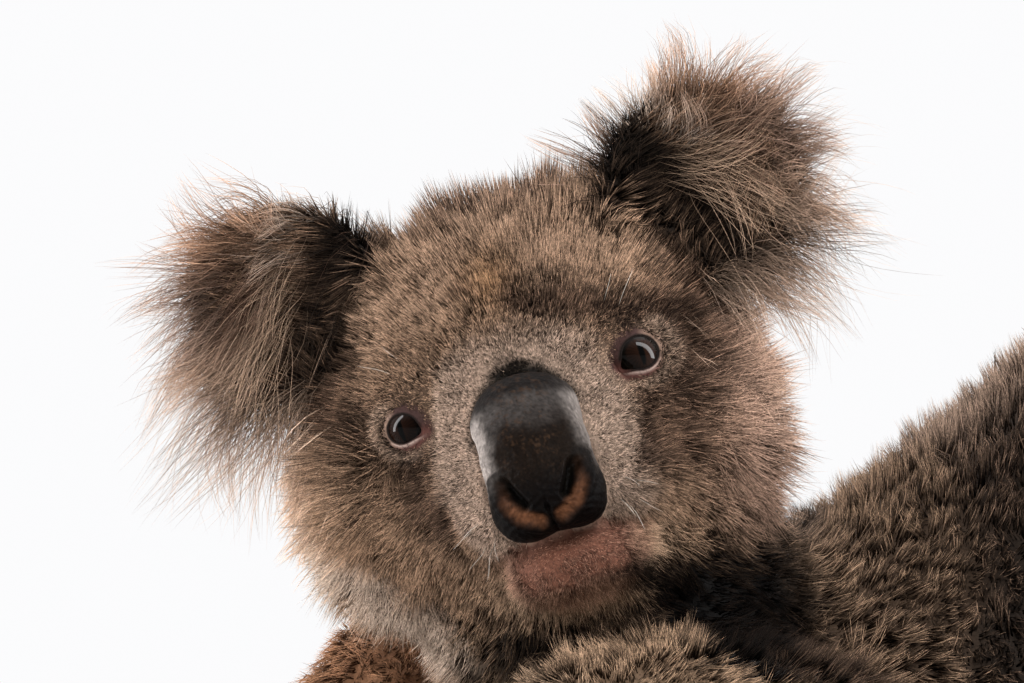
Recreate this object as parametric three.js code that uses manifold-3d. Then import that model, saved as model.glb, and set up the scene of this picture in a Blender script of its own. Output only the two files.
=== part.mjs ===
// A life-size koala, sitting hunched on the floor with both hands planted in front of it
// and its head turned over its left shoulder. Millimetres, +Z up. The trunk faces -Y, so the
// animal's left side is +X. Every outline is taken at the tips of the coat.
import * as THREE from "three";
import { mergeVertices } from "three/addons/utils/BufferGeometryUtils.js";
import Module from "manifold-3d";

const wasm = await Module();
wasm.setup();

// ---- Driving sizes -------------------------------------------------------------------------
const EYE_SPACING = 77; // between the centres of the eyeballs
const EYE_HEIGHT = 265; // of the point between the eyes, above the floor
const EYEBALL = 9; // radius
const BACK_HEIGHT = 326; // top of the hunched back
const RUMP_REACH = 290; // rearmost fur, behind the frame's middle plane
const HIP_WIDTH = 232; // over the fur of the trunk, without the thighs
const CHEST_WIDTH = 178;

const HEAD_TURN = 67; // degrees, to the animal's left
const HEAD_NOD = 3; // degrees, face down
const HEAD_ROLL = -17.5; // degrees, crown towards the animal's right
const EYES_AT = new THREE.Vector3(95, -112, EYE_HEIGHT);

const GAP = 0.35; // left between touching pieces
const FLOOR_CLEARANCE = 0.8; // of a claw's tip
const FAR = 1200; // larger than the animal, for cutting boxes

const SIDES = { left: 1, right: -1 };

const FUR_BROWN = 0x6f5a4a;
const finish = {
  fur: { color: FUR_BROWN, roughness: 0.9, metalness: 0 },
  faceFur: { color: 0x8a7766, roughness: 0.9, metalness: 0 },
  paleFur: { color: 0xc4b5a4, roughness: 0.9, metalness: 0 },
  backFur: { color: 0x584536, roughness: 0.9, metalness: 0 },
  noseLeather: { color: 0x2a2725, roughness: 0.5, metalness: 0 },
  eye: { color: 0x1c0f0a, roughness: 0.08, metalness: 0 },
  claw: { color: 0x2b2420, roughness: 0.4, metalness: 0 },
};

const vec = (x, y, z) => new THREE.Vector3(x, y, z);
const rad = THREE.MathUtils.degToRad;

// ---- Solids and geometry -------------------------------------------------------------------

// A closed geometry as a manifold-3d solid.
function solidOf(geometry) {
  const bare = geometry.clone();
  bare.deleteAttribute("normal");
  bare.deleteAttribute("uv");
  const merged = mergeVertices(bare, 1e-4);
  return new wasm.Manifold(
    new wasm.Mesh({
      numProp: 3,
      vertProperties: new Float32Array(merged.attributes.position.array),
      triVerts: new Uint32Array(merged.index.array),
    }),
  );
}

// A manifold-3d solid as a geometry that three.js can draw.
function geometryOf(solid) {
  const mesh = solid.getMesh();
  const geometry = new THREE.BufferGeometry();
  geometry.setAttribute("position", new THREE.BufferAttribute(mesh.vertProperties, 3));
  geometry.setIndex(new THREE.BufferAttribute(mesh.triVerts, 1));
  geometry.computeVertexNormals();
  return geometry;
}

// The largest connected body of a solid, so that a boolean leaves no crumbs.
function largest(solid) {
  const bodies = solid.decompose();
  return bodies.reduce((a, b) => (b.volume() > a.volume() ? b : a));
}

// All space on the side of a plane that its normal points to.
function halfSpace(point, normal) {
  const direction = normal.clone().normalize();
  const box = new THREE.BoxGeometry(FAR, FAR, FAR);
  const turn = new THREE.Quaternion().setFromUnitVectors(vec(0, 0, 1), direction);
  box.applyQuaternion(turn);
  const centre = point.clone().addScaledVector(direction, FAR / 2);
  box.translate(centre.x, centre.y, centre.z);
  return solidOf(box);
}

// Cuts a solid in two at a plane and leaves the gap between the halves.
function partAt(solid, point, normal) {
  const step = normal.clone().normalize().multiplyScalar(GAP / 2);
  const ahead = halfSpace(point.clone().add(step), normal);
  const behind = halfSpace(point.clone().sub(step), normal.clone().negate());
  return [solid.intersect(behind), solid.intersect(ahead)];
}

const aboveFloor = halfSpace(vec(0, 0, 0), vec(0, 0, 1));

// ---- Rounded masses ------------------------------------------------------------------------

// An egg-shaped mass: its centre, its three half-sizes and, if it leans, its turn in degrees.
function mass(at, size, turn = [0, 0, 0]) {
  const [a, b, c] = turn.map(rad);
  const lean = new THREE.Quaternion().setFromEuler(new THREE.Euler(a, b, c, "ZYX"));
  return { at: vec(...at), size: vec(...size), back: lean.invert() };
}

// The same mass on both sides of the middle plane.
function pairOf([x, y, z], size, [a, b, c] = [0, 0, 0]) {
  return [mass([x, y, z], size, [a, b, c]), mass([-x, y, z], size, [a, -b, -c])];
}

// Distance from a point to the surface of one mass, nearly exact close to it.
function distanceTo({ at, size, back }, point) {
  const p = point.clone().sub(at).applyQuaternion(back).divide(size);
  const slope = p.clone().divide(size).length();
  const k = p.length();
  return slope < 1e-9 ? -Math.min(size.x, size.y, size.z) : (k * (k - 1)) / slope;
}

// Distance to the surface of several masses melted into one another over a softness in mm.
function meltedDistance(masses, softness, point) {
  const sum = masses.reduce((s, m) => s + Math.exp(-distanceTo(m, point) / softness), 0);
  return -softness * Math.log(sum);
}

// Distance from an inner point to the melted surface along a direction.
function reach(masses, softness, grow, from, direction) {
  const outside = (r) =>
    meltedDistance(masses, softness, from.clone().addScaledVector(direction, r)) > grow;
  const stride = 5;
  let high = stride;
  while (!outside(high) && high < FAR) high += stride;
  let low = high - stride;
  for (let i = 0; i < 24; i++) {
    const middle = (low + high) / 2;
    if (outside(middle)) high = middle;
    else low = middle;
  }
  return (low + high) / 2;
}

// A sphere's net, pushed out from a centre to the melted surface of some masses. Its poles lie
// along Y. A larger grow gives the same shape that much bigger all round.
function melted(centre, masses, { softness = 6, columns = 20, rows = 14, grow = 0 } = {}) {
  const geometry = new THREE.SphereGeometry(1, columns, rows);
  const position = geometry.attributes.position;
  const direction = vec(0, 0, 0);
  for (let i = 0; i < position.count; i++) {
    direction.fromBufferAttribute(position, i).normalize();
    const r = reach(masses, softness, grow, centre, direction);
    position.setXYZ(
      i,
      centre.x + direction.x * r,
      centre.y + direction.y * r,
      centre.z + direction.z * r,
    );
  }
  return solidOf(geometry);
}

// ---- Limbs ---------------------------------------------------------------------------------

// A limb through stations { at, radius }, round in section, with half-round ends.
function limb(stations, { sides = 12, steps = 3, caps = 2, rootCaps = caps, grow = 0 } = {}) {
  const path = new THREE.CatmullRomCurve3(stations.map((s) => s.at), false, "centripetal");
  const spans = stations.length - 1;
  const radiusAt = (t) => {
    const i = Math.min(Math.floor(t * spans), spans - 1);
    const share = THREE.MathUtils.smoothstep(t * spans - i, 0, 1);
    return THREE.MathUtils.lerp(stations[i].radius, stations[i + 1].radius, share) + grow;
  };
  const rings = [];
  for (let i = 0; i < rootCaps; i++) rings.push({ t: 0, lean: -90 + (90 * i) / rootCaps });
  for (let i = 0; i <= spans * steps; i++) rings.push({ t: i / (spans * steps), lean: 0 });
  for (let i = 1; i <= caps; i++) rings.push({ t: 1, lean: (90 * i) / caps });

  const points = [];
  for (const { t, lean } of rings) {
    const along = path.getTangent(t);
    const across = vec(1, 0.02, 0.05).cross(along).normalize();
    const beside = along.clone().cross(across);
    const r = radiusAt(t);
    const centre = path.getPoint(t).addScaledVector(along, r * Math.sin(rad(lean)));
    const width = Math.abs(lean) === 90 ? 0 : r * Math.cos(rad(lean));
    for (let j = 0; j <= sides; j++) {
      const a = (2 * Math.PI * (j % sides)) / sides;
      const p = centre.clone();
      p.addScaledVector(across, width * Math.cos(a)).addScaledVector(beside, width * Math.sin(a));
      points.push(p.x, p.y, p.z);
    }
  }
  const faces = [];
  const row = sides + 1;
  for (let i = 0; i < rings.length - 1; i++) {
    for (let j = 0; j < sides; j++) {
      const a = i * row + j;
      if (i > 0) faces.push(a, a + 1, a + row);
      if (i < rings.length - 2) faces.push(a + 1, a + row + 1, a + row);
    }
  }
  // The first and last rows close on their poles.
  const geometry = new THREE.BufferGeometry();
  geometry.setAttribute("position", new THREE.Float32BufferAttribute(points, 3));
  geometry.setIndex(faces);
  return solidOf(geometry);
}

const station = (x, y, z, radius) => ({ at: vec(x, y, z), radius });

// ---- Making nodes --------------------------------------------------------------------------

function node(name, solid, look) {
  const mesh = new THREE.Mesh(geometryOf(largest(solid)), new THREE.MeshStandardMaterial(look));
  mesh.name = name;
  return mesh;
}

const koala = new THREE.Group();

// ---- Head, in its own frame: the origin lies between the eyes, -Y is the way it faces ------

const head = new THREE.Group();
head.rotation.set(rad(HEAD_NOD), rad(HEAD_ROLL), rad(HEAD_TURN), "ZXY");
head.position.copy(EYES_AT);
head.updateMatrixWorld(true);
koala.add(head);

const HEAD_CENTRE = vec(0, 48, 2);
const headMasses = [
  mass([0, 62, 14], [68, 58, 57]), // cranium
  mass([0, 34, 0], [60, 40, 42]), // face, out to the eyes
  mass([41, 56, -20], [39, 42, 34]), // left cheek
  mass([-48, 56, -21], [40, 42, 36]), // right cheek, whose ruff hangs free
  mass([42, 58, -38], [38, 38, 31]), // left jowl, pressed to the shoulder
  mass([-50, 58, -39], [38, 38, 32]), // right jowl
  mass([0, 6, -30], [32, 31, 25]), // muzzle
  ...pairOf([20, 4, -36], [14, 18, 14]), // sides of the upper lip
  mass([0, 46, -48], [46, 36, 21]), // throat
];
const headShape = (grow) =>
  melted(HEAD_CENTRE, headMasses, { softness: 6, columns: 22, rows: 16, grow });

const NOSE_CENTRE = vec(0, -14, -20);
const noseMasses = [
  mass([0, -15, -8], [18, 11.5, 14]), // broad upper end
  mass([0, -22, -26], [16.5, 14, 18]), // bridge
  mass([0, -27, -34], [14.5, 14.5, 12]), // tip
  ...pairOf([9, -24, -38], [9, 11, 8.5]), // wings of the nostrils
];
const noseShape = (grow) =>
  melted(NOSE_CENTRE, noseMasses, { softness: 2.5, columns: 16, rows: 11, grow });

const CHIN_CENTRE = vec(0, 4, -58);
const chinMasses = [
  mass([0, -2, -59], [21, 20, 12]), // lower lip
  mass([0, 14, -61], [27, 24, 12]), // chin
];
const chinShape = (grow) =>
  melted(CHIN_CENTRE, chinMasses, { softness: 4, columns: 14, rows: 7, grow });

const EYE_SET_BACK = 9.3; // of an eyeball's centre, behind the frame's origin
const eyeCentre = (side) => vec((side * EYE_SPACING) / 2, EYE_SET_BACK, 0);
const eyeShape = (side, grow) =>
  melted(eyeCentre(side), [mass(eyeCentre(side).toArray(), [EYEBALL, EYEBALL, EYEBALL])], {
    columns: 10,
    rows: 7,
    grow,
  });
// The hollow in the coat that an eye looks out of.
const eyeHollow = (side) =>
  melted(
    vec(side * (EYE_SPACING / 2 + 2.5), -4, 0),
    [mass([side * (EYE_SPACING / 2 + 2.5), -4, 0], [11, 13, 10])],
    { columns: 10, rows: 7 },
  );

const EAR_AT = [77, 54, 50];
const EAR_SIZE = [45, 31, 47];
const earMasses = (side) => [
  mass([side * EAR_AT[0], EAR_AT[1], EAR_AT[2]], EAR_SIZE, [0, side * 12, side * -14]),
  mass([side * 93, 56, 26], [27, 22, 28]), // the hanging lower tuft
];
const earShape = (side) =>
  melted(vec(side * EAR_AT[0], EAR_AT[1], EAR_AT[2]), earMasses(side), {
    softness: 5,
    columns: 16,
    rows: 10,
  });
// The shallow dish of the ear's open side.
const earDish = (side) =>
  melted(vec(side * 74, 17, 50), [mass([side * 74, 17, 50], [27, 16, 29])], {
    columns: 10,
    rows: 7,
  });

const headGrown = headShape(GAP);
const noseGrown = noseShape(GAP);
let headSolid = headShape(0).subtract(noseGrown);
for (const side of Object.values(SIDES)) {
  headSolid = headSolid.subtract(eyeShape(side, GAP)).subtract(eyeHollow(side));
}
head.add(node("head", headSolid, finish.faceFur));
head.add(node("nose", noseShape(0), finish.noseLeather));
const chinSolid = chinShape(0).subtract(headGrown).subtract(noseGrown);
head.add(node("lower_jaw", chinSolid, finish.paleFur));
for (const [name, side] of Object.entries(SIDES)) {
  head.add(node(`eye_${name}`, eyeShape(side, 0), finish.eye));
  const ear = earShape(side).subtract(earDish(side)).subtract(headGrown);
  head.add(node(`ear_${name}`, ear, finish.paleFur));
}

// The head's shapes in the animal's frame, for the pieces that they meet.
const placed = (solid) => solid.transform(head.matrixWorld.elements);
const headBlock = placed(headGrown.add(chinShape(GAP)));

// ---- Trunk ---------------------------------------------------------------------------------

const TRUNK_CENTRE = vec(0, 128, 150);
const BACK_RADIUS = 128;
const WITHERS_SLOPE = 42; // degrees that the line from nape to back climbs
const trunkMasses = [
  mass([0, 204, 106], [HIP_WIDTH / 2, RUMP_REACH - 206, 112]), // rump
  mass([0, 176, BACK_HEIGHT - BACK_RADIUS - 4], [HIP_WIDTH / 2 - 6, 110, BACK_RADIUS]), // back
  mass([0, 96, 176], [HIP_WIDTH / 2 - 12, 112, 86], [WITHERS_SLOPE, 0, 0]), // withers
  mass([0, 84, 122], [HIP_WIDTH / 2 - 14, 88, 92]), // belly
  mass([0, 18, 140], [CHEST_WIDTH / 2, 88, 84]), // chest
];
const trunkShape = (grow) =>
  melted(TRUNK_CENTRE, trunkMasses, { softness: 8, columns: 24, rows: 16, grow }).intersect(
    aboveFloor,
  );
const trunkGrown = trunkShape(GAP);

// ---- Arms ----------------------------------------------------------------------------------

// Shoulder, elbow and wrist. The right arm is drawn back a little more than the left.
const arms = {
  left: {
    shoulder: vec(80, 0, 138),
    elbow: vec(126, -96, 140),
    wrist: vec(98, -166, 38),
    heading: -8,
  },
  right: {
    shoulder: vec(-78, 4, 144),
    elbow: vec(-112, -92, 157),
    wrist: vec(-92, -156, 38),
    heading: 6,
  },
};
const SHOULDER_RADIUS = 46;
const ELBOW_RADIUS = 44;
const WRIST_RADIUS = 25;

function armShape({ shoulder, elbow, wrist }, grow) {
  const upper = shoulder.clone().lerp(elbow, 0.55);
  const fore = elbow.clone().lerp(wrist, 0.5);
  return limb(
    [
      { at: shoulder, radius: SHOULDER_RADIUS },
      { at: upper.add(vec(0, 0, 3)), radius: SHOULDER_RADIUS + 2 },
      { at: elbow, radius: ELBOW_RADIUS },
      { at: fore, radius: (ELBOW_RADIUS + WRIST_RADIUS) / 2 + 1 },
      { at: wrist, radius: WRIST_RADIUS },
    ],
    { sides: 12, steps: 2, grow },
  );
}

// ---- Hands and feet ------------------------------------------------------------------------

// A digit on the floor: from its root, a fan angle from the heading, a length and a radius.
const HAND_DIGITS = [
  { root: [-17, -6], fan: -68, length: 27, radius: 8.2, claw: 15 },
  { root: [-15, -26], fan: -38, length: 31, radius: 8.2, claw: 17 },
  { root: [-5, -40], fan: -9, length: 33, radius: 8.4, claw: 18 },
  { root: [8, -39], fan: 8, length: 34, radius: 8.4, claw: 18 },
  { root: [19, -30], fan: 27, length: 29, radius: 8, claw: 16 },
];
const FOOT_DIGITS = [
  { root: [-18, -36], fan: -72, length: 27, radius: 10, claw: 0 },
  { root: [-13, -66], fan: -16, length: 22, radius: 6.6, claw: 13 },
  { root: [-3.5, -69], fan: -7, length: 24, radius: 6.6, claw: 13 },
  { root: [9, -66], fan: 8, length: 34, radius: 8.8, claw: 17 },
  { root: [21, -56], fan: 27, length: 30, radius: 8.4, claw: 16 },
];
const CLAW_ROOT = 3.6; // radius of a claw where it leaves its toe
const CLAW_TIP = 0.7;

// The stations of a digit: it rises over its knuckle and comes down on its pad.
function digitStations({ root, fan, length, radius }, height) {
  const way = vec(Math.sin(rad(fan)), -Math.cos(rad(fan)), 0);
  const start = vec(root[0], root[1], height);
  const at = (share, z) => start.clone().addScaledVector(way, length * share).setZ(z);
  return [
    { at: at(0, height), radius: radius * 1.1 },
    { at: at(0.5, radius * 1.45), radius: radius * 1.02 },
    { at: at(1, radius - 0.6), radius },
  ];
}

// A claw starts on top of the toe's end and curves forward and down.
function clawStations(digit, height) {
  const way = vec(Math.sin(rad(digit.fan)), -Math.cos(rad(digit.fan)), 0);
  const tip = digitStations(digit, height)[2].at;
  const at = (ahead, z) => tip.clone().addScaledVector(way, ahead).setZ(z);
  const reachOut = digit.radius + digit.claw * 0.72;
  return [
    { at: at(digit.radius * 0.55, digit.radius * 1.15), radius: CLAW_ROOT },
    { at: at(digit.radius * 0.7 + digit.claw * 0.4, digit.radius * 0.98), radius: CLAW_ROOT * 0.66 },
    { at: at(reachOut, FLOOR_CLEARANCE + CLAW_TIP), radius: CLAW_TIP },
  ];
}

// A hand or foot: a padded sole with its digits, and its claws. mirror is -1 on the left side,
// where the first digit points the other way.
function paw(digits, sole, height) {
  const digitShape = (digit, grow) =>
    limb(digitStations(digit, height), { sides: 6, steps: 1, caps: 2, rootCaps: 1, grow });
  const flesh = digits.reduce((s, digit) => s.add(digitShape(digit, 0)), sole);
  const claws = digits
    .filter((digit) => digit.claw > 0)
    .map((digit) =>
      digits.reduce(
        (s, other) => s.subtract(digitShape(other, GAP)),
        limb(clawStations(digit, height), { sides: 5, steps: 1, caps: 1 }),
      ),
    );
  return { flesh, claws };
}

// A hand's sole runs from the wrist over the palm, a foot's from the heel to its ball.
const palm = melted(
  vec(0, -14, 15),
  [mass([0, -20, 13], [26, 28, 16]), mass([0, 4, 20], [21, 22, 20], [0, 0, 0])],
  { softness: 4, columns: 10, rows: 7 },
);
const footSole = melted(
  vec(0, -28, 18),
  [mass([2, -46, 15], [28, 34, 18]), mass([0, 2, 22], [24, 26, 24])],
  { softness: 5, columns: 10, rows: 8 },
);

// Moves a paw's solid from its own frame to where it stands. Its own first digit is on -X,
// which is the inner side of a left paw, so a right paw is a mirror image.
function stand(solid, side, at, heading) {
  const turned = side > 0 ? solid : solid.mirror([1, 0, 0]);
  const matrix = new THREE.Matrix4().makeRotationZ(rad(heading));
  matrix.setPosition(at.x, at.y, 0);
  return turned.transform(matrix.elements).intersect(aboveFloor);
}

// ---- Legs ----------------------------------------------------------------------------------

const legs = {
  left: { hip: vec(78, 168, 96), knee: vec(134, 50, 118), ankle: vec(126, 98, 32), heading: 9 },
  right: { hip: vec(-78, 168, 96), knee: vec(-134, 54, 118), ankle: vec(-126, 100, 32), heading: -9 },
};
const HIP_RADIUS = 74;
const KNEE_RADIUS = 45;
const ANKLE_RADIUS = 28;

function thighShape({ hip, knee }, grow) {
  return limb(
    [
      { at: hip, radius: HIP_RADIUS },
      { at: hip.clone().lerp(knee, 0.55), radius: HIP_RADIUS * 0.86 },
      { at: knee, radius: KNEE_RADIUS },
    ],
    { sides: 12, steps: 2, caps: 3, grow },
  );
}
function shankShape({ knee, ankle }) {
  return limb(
    [
      { at: knee.clone().lerp(ankle, 0.1), radius: KNEE_RADIUS * 0.9 },
      { at: knee.clone().lerp(ankle, 0.55), radius: KNEE_RADIUS * 0.82 },
      { at: ankle, radius: ANKLE_RADIUS },
    ],
    { sides: 12, steps: 2 },
  );
}

// ---- Neck ----------------------------------------------------------------------------------

function neckShape(grow) {
  return limb(
    [
      station(0, 20, 138, 76),
      station(8, -26, 166, 74),
      station(30, -62, 204, 66),
      station(50, -86, 246, 52),
    ],
    { sides: 14, steps: 2, grow },
  );
}

// ---- Putting the body together -------------------------------------------------------------

const CHEST_CUT = { point: vec(0, 42, 150), normal: vec(0, 1, -0.15) };
const RUMP_CUT = { point: vec(0, 176, 150), normal: vec(0, 0.8, -0.6) };
const [chest, behindChest] = partAt(trunkShape(0), CHEST_CUT.point, CHEST_CUT.normal);
const [back, rump] = partAt(behindChest, RUMP_CUT.point, RUMP_CUT.normal);
const neck = neckShape(0).subtract(trunkGrown).subtract(headBlock);
const neckBlock = neckShape(GAP);
koala.add(node("chest", chest, finish.fur));
koala.add(node("back", back, finish.backFur));
koala.add(node("rump", rump, finish.backFur));
koala.add(node("neck", neck, finish.fur));

for (const [name, side] of Object.entries(SIDES)) {
  const arm = arms[name];
  const hand = paw(HAND_DIGITS, palm, 17);
  const handAt = (solid) => stand(solid, side, arm.wrist, arm.heading);
  const handSolid = handAt(hand.flesh);
  const whole = armShape(arm, 0)
    .subtract(trunkGrown)
    .subtract(neckBlock)
    .subtract(headBlock)
    .intersect(aboveFloor);
  const bend = arm.wrist.clone().sub(arm.shoulder);
  const [upperArm, forearm] = partAt(whole, arm.elbow, bend);
  const wristCut = { point: arm.wrist.clone().setZ(34), normal: vec(0, 0, 1) };
  const handTop = partAt(handSolid, wristCut.point, wristCut.normal)[0];
  const forearmEnd = partAt(forearm, wristCut.point, wristCut.normal)[1];
  koala.add(node(`upper_arm_${name}`, upperArm, finish.fur));
  koala.add(node(`forearm_${name}`, forearmEnd, finish.fur));
  koala.add(node(`hand_${name}`, handTop, finish.fur));
  hand.claws.forEach((claw, i) => {
    koala.add(node(`claw_hand_${name}_${i + 1}`, handAt(claw), finish.claw));
  });

  const leg = legs[name];
  const foot = paw(FOOT_DIGITS, footSole, 17);
  const footAt = (solid) => stand(solid, side, leg.ankle, leg.heading);
  const armBlock = armShape(arm, GAP);
  const thigh = thighShape(leg, 0).subtract(trunkGrown).subtract(armBlock).intersect(aboveFloor);
  const shank = shankShape(leg)
    .subtract(thighShape(leg, GAP))
    .subtract(trunkGrown)
    .subtract(armBlock);
  const ankleCut = { point: leg.ankle.clone().setZ(38), normal: vec(0, 0, 1) };
  koala.add(node(`thigh_${name}`, thigh, finish.fur));
  koala.add(node(`shank_${name}`, partAt(shank, ankleCut.point, ankleCut.normal)[1], finish.fur));
  koala.add(node(`foot_${name}`, partAt(footAt(foot.flesh), ankleCut.point, ankleCut.normal)[0], finish.fur));
  foot.claws.forEach((claw, i) => {
    koala.add(node(`claw_foot_${name}_${i + 1}`, footAt(claw), finish.claw));
  });
}

// The frame's origin is on the floor, under the middle of the whole animal.
koala.updateMatrixWorld(true);
const box = new THREE.Box3().setFromObject(koala, true);
const middle = box.getCenter(vec(0, 0, 0));
koala.position.set(-middle.x, -middle.y, -box.min.z);

export default koala;
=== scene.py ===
# %% [markdown]
# # A life-size koala
# The imported solids give the koala's pose and its outline at the tips of the coat. This lesson dresses
# them: one skin lies inside the solids by the depth of the coat, and the coat itself is made of many
# thin closed tufts, so that it is real geometry on every side. The frame is loaded first.

# %% Load the frame
import math
from collections import namedtuple
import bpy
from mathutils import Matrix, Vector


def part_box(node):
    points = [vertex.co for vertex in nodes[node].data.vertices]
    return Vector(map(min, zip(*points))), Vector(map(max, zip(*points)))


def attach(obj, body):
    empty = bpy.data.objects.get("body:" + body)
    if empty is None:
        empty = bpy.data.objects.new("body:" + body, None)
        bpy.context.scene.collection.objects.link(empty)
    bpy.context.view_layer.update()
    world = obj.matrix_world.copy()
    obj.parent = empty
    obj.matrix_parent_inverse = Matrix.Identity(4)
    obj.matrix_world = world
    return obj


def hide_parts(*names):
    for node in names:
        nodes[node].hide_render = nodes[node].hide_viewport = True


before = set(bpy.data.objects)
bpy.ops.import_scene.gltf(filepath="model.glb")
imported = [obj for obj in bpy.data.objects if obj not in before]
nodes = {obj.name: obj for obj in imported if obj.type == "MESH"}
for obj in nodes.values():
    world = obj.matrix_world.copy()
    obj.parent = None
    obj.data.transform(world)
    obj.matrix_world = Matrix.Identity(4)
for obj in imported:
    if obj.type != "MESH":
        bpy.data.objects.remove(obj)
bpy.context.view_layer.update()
from types import SimpleNamespace

import bmesh
import bpy
import numpy as np
from mathutils import Matrix, Vector
from mathutils.bvhtree import BVHTree
from mathutils.kdtree import KDTree

MM = 0.001

# %% [markdown]
# ## Finding the head
# The head is turned, tipped and nodded, so everything on the face is placed in the head's own axes:
# x to its left, y to its back, z to its crown, in millimetres from the point between the eyes. The
# eyeballs are spheres, so the middle of each one's box is its centre, and the two centres give the
# place of the head.

# %% Head axes
HEAD_TURN = math.radians(67.0)
HEAD_NOD = math.radians(3.0)
HEAD_ROLL = math.radians(-17.5)
EYE_SET_BACK = 9.3  # of the eyeballs' centres, behind the origin

head_turn = (
    Matrix.Rotation(HEAD_TURN, 3, "Z")
    @ Matrix.Rotation(HEAD_NOD, 3, "X")
    @ Matrix.Rotation(HEAD_ROLL, 3, "Y")
)
HEAD_AXES = np.array(head_turn)


def unit_of(vector):
    return np.asarray(vector) / np.linalg.norm(vector)


def middle(node):
    low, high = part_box(node)
    return np.array((low + high) / 2)


EYE_CENTRE = {side: middle(f"eye_{side}") for side in ("left", "right")}
eyes_middle = (EYE_CENTRE["left"] + EYE_CENTRE["right"]) / 2
HEAD_ORIGIN = eyes_middle - HEAD_AXES @ np.array([0, EYE_SET_BACK, 0]) * MM


def to_head(points):
    """Points of the animal's frame, in metres, as millimetres on the head's own axes."""
    return (np.asarray(points) - HEAD_ORIGIN) @ HEAD_AXES / MM


def from_head(points):
    """The way back: millimetres on the head's axes to metres in the animal's frame."""
    return np.asarray(points) * MM @ HEAD_AXES.T + HEAD_ORIGIN


def head_way(vectors):
    """Directions on the head's axes as directions in the animal's frame."""
    return np.asarray(vectors) @ HEAD_AXES.T


EYE_SPACING = np.linalg.norm(EYE_CENTRE["left"] - EYE_CENTRE["right"]) / MM
print("head origin", np.round(HEAD_ORIGIN, 4), "eye spacing", round(EYE_SPACING, 2), "mm")

# %% [markdown]
# ## Camera
# The head is seen from far away through a long lens, so its shape is hardly changed by perspective.
# The camera stands low and looks very slightly up, and the head sits a little left of the middle.

# %% Camera
CAMERA_AZIMUTH = math.radians(72.0)
CAMERA_TILT = math.radians(-3.0)
CAMERA_DISTANCE = 2.5
VIEW_WIDTH = 0.3357  # metres across the view, at the eyes
SENSOR = 36.0
AIM_LEFT = 3.0  # of the point between the eyes, mm
AIM_ABOVE = 16.6

camera_back = np.array(
    [
        math.sin(CAMERA_AZIMUTH) * math.cos(CAMERA_TILT),
        -math.cos(CAMERA_AZIMUTH) * math.cos(CAMERA_TILT),
        math.sin(CAMERA_TILT),
    ]
)
camera_right = np.array([math.cos(CAMERA_AZIMUTH), math.sin(CAMERA_AZIMUTH), 0.0])
camera_up = np.cross(camera_back, camera_right)
aim = HEAD_ORIGIN - camera_right * AIM_LEFT * MM + camera_up * AIM_ABOVE * MM
camera_data = bpy.data.cameras.new("camera")
camera_data.sensor_width = SENSOR
camera_data.lens = SENSOR * CAMERA_DISTANCE / VIEW_WIDTH
camera_data.clip_start = 0.1
camera_data.clip_end = 100.0
camera = bpy.data.objects.new("camera", camera_data)
bpy.context.scene.collection.objects.link(camera)
camera.location = Vector(aim + camera_back * CAMERA_DISTANCE)
axes = Matrix((Vector(camera_right), Vector(camera_up), Vector(camera_back))).transposed()
camera.rotation_euler = axes.to_euler()
bpy.context.scene.camera = camera
print("camera", [round(v, 3) for v in camera.location], "lens", round(camera_data.lens, 1))

# %% [markdown]
# ## Studio
# A wide pale floor and a pale surround make the plain studio. The surround is nearly white where the
# camera sees it. What lights the coat is softer and comes mostly from above and behind, as under an
# overcast sky, which leaves pale rims along the ears and back and keeps the dark eyes dark. Flat lamps
# add to it. Some of them would put white squares in the eyes and stripes on the floor, so the eyes and
# the floor are left out of their light further on, where the eyes are made.

# %% Floor
FLOOR_HALF = 60.0
FLOOR_DROP = 0.5 * MM  # below the animal, so that the two never share a plane
FLOOR_PAINT = (0.50, 0.495, 0.485, 1)
FLOOR_ROUGHNESS = 0.7
corners = [(-1, -1), (1, -1), (1, 1), (-1, 1)]
floor_mesh = bpy.data.meshes.new("floor")
floor_corners = [(x * FLOOR_HALF, y * FLOOR_HALF, -FLOOR_DROP) for x, y in corners]
floor_mesh.from_pydata(floor_corners, [], [(0, 1, 2, 3)])
floor = bpy.data.objects.new("floor", floor_mesh)
bpy.context.scene.collection.objects.link(floor)
floor_finish = bpy.data.materials.new("floor_paint")
floor_finish.use_nodes = True
paint = floor_finish.node_tree.nodes["Principled BSDF"]
paint.inputs["Base Color"].default_value = FLOOR_PAINT
paint.inputs["Roughness"].default_value = FLOOR_ROUGHNESS
floor_mesh.materials.append(floor_finish)
print("floor", 2 * FLOOR_HALF, "m across")

# %% Surround
SEEN_WHITE = (0.97, 0.97, 0.98, 1)
GLOW_NEAR = (0.14, 0.14, 0.14, 1)  # from the camera's side and below
GLOW_FAR = (2.1, 2.1, 2.15, 1)  # from behind and above
GLOW_LIFT = 0.75  # how high the brightest part is, for each 1 that it lies behind
GLOW_STARTS = 0.38  # where the glow begins to rise, from 0 at the camera's side to 1 behind
world = bpy.data.worlds.new("studio")
bpy.context.scene.world = world
world.use_nodes = True
sky = world.node_tree
sky.nodes.clear()


def new_node(tree, kind, values=(), **settings):
    """A new node with its settings, and the fixed values of its inputs by name or number."""
    node = tree.nodes.new(kind)
    for name, value in settings.items():
        setattr(node, name, value)
    for name, value in dict(values).items():
        node.inputs[name].default_value = value
    return node


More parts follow.
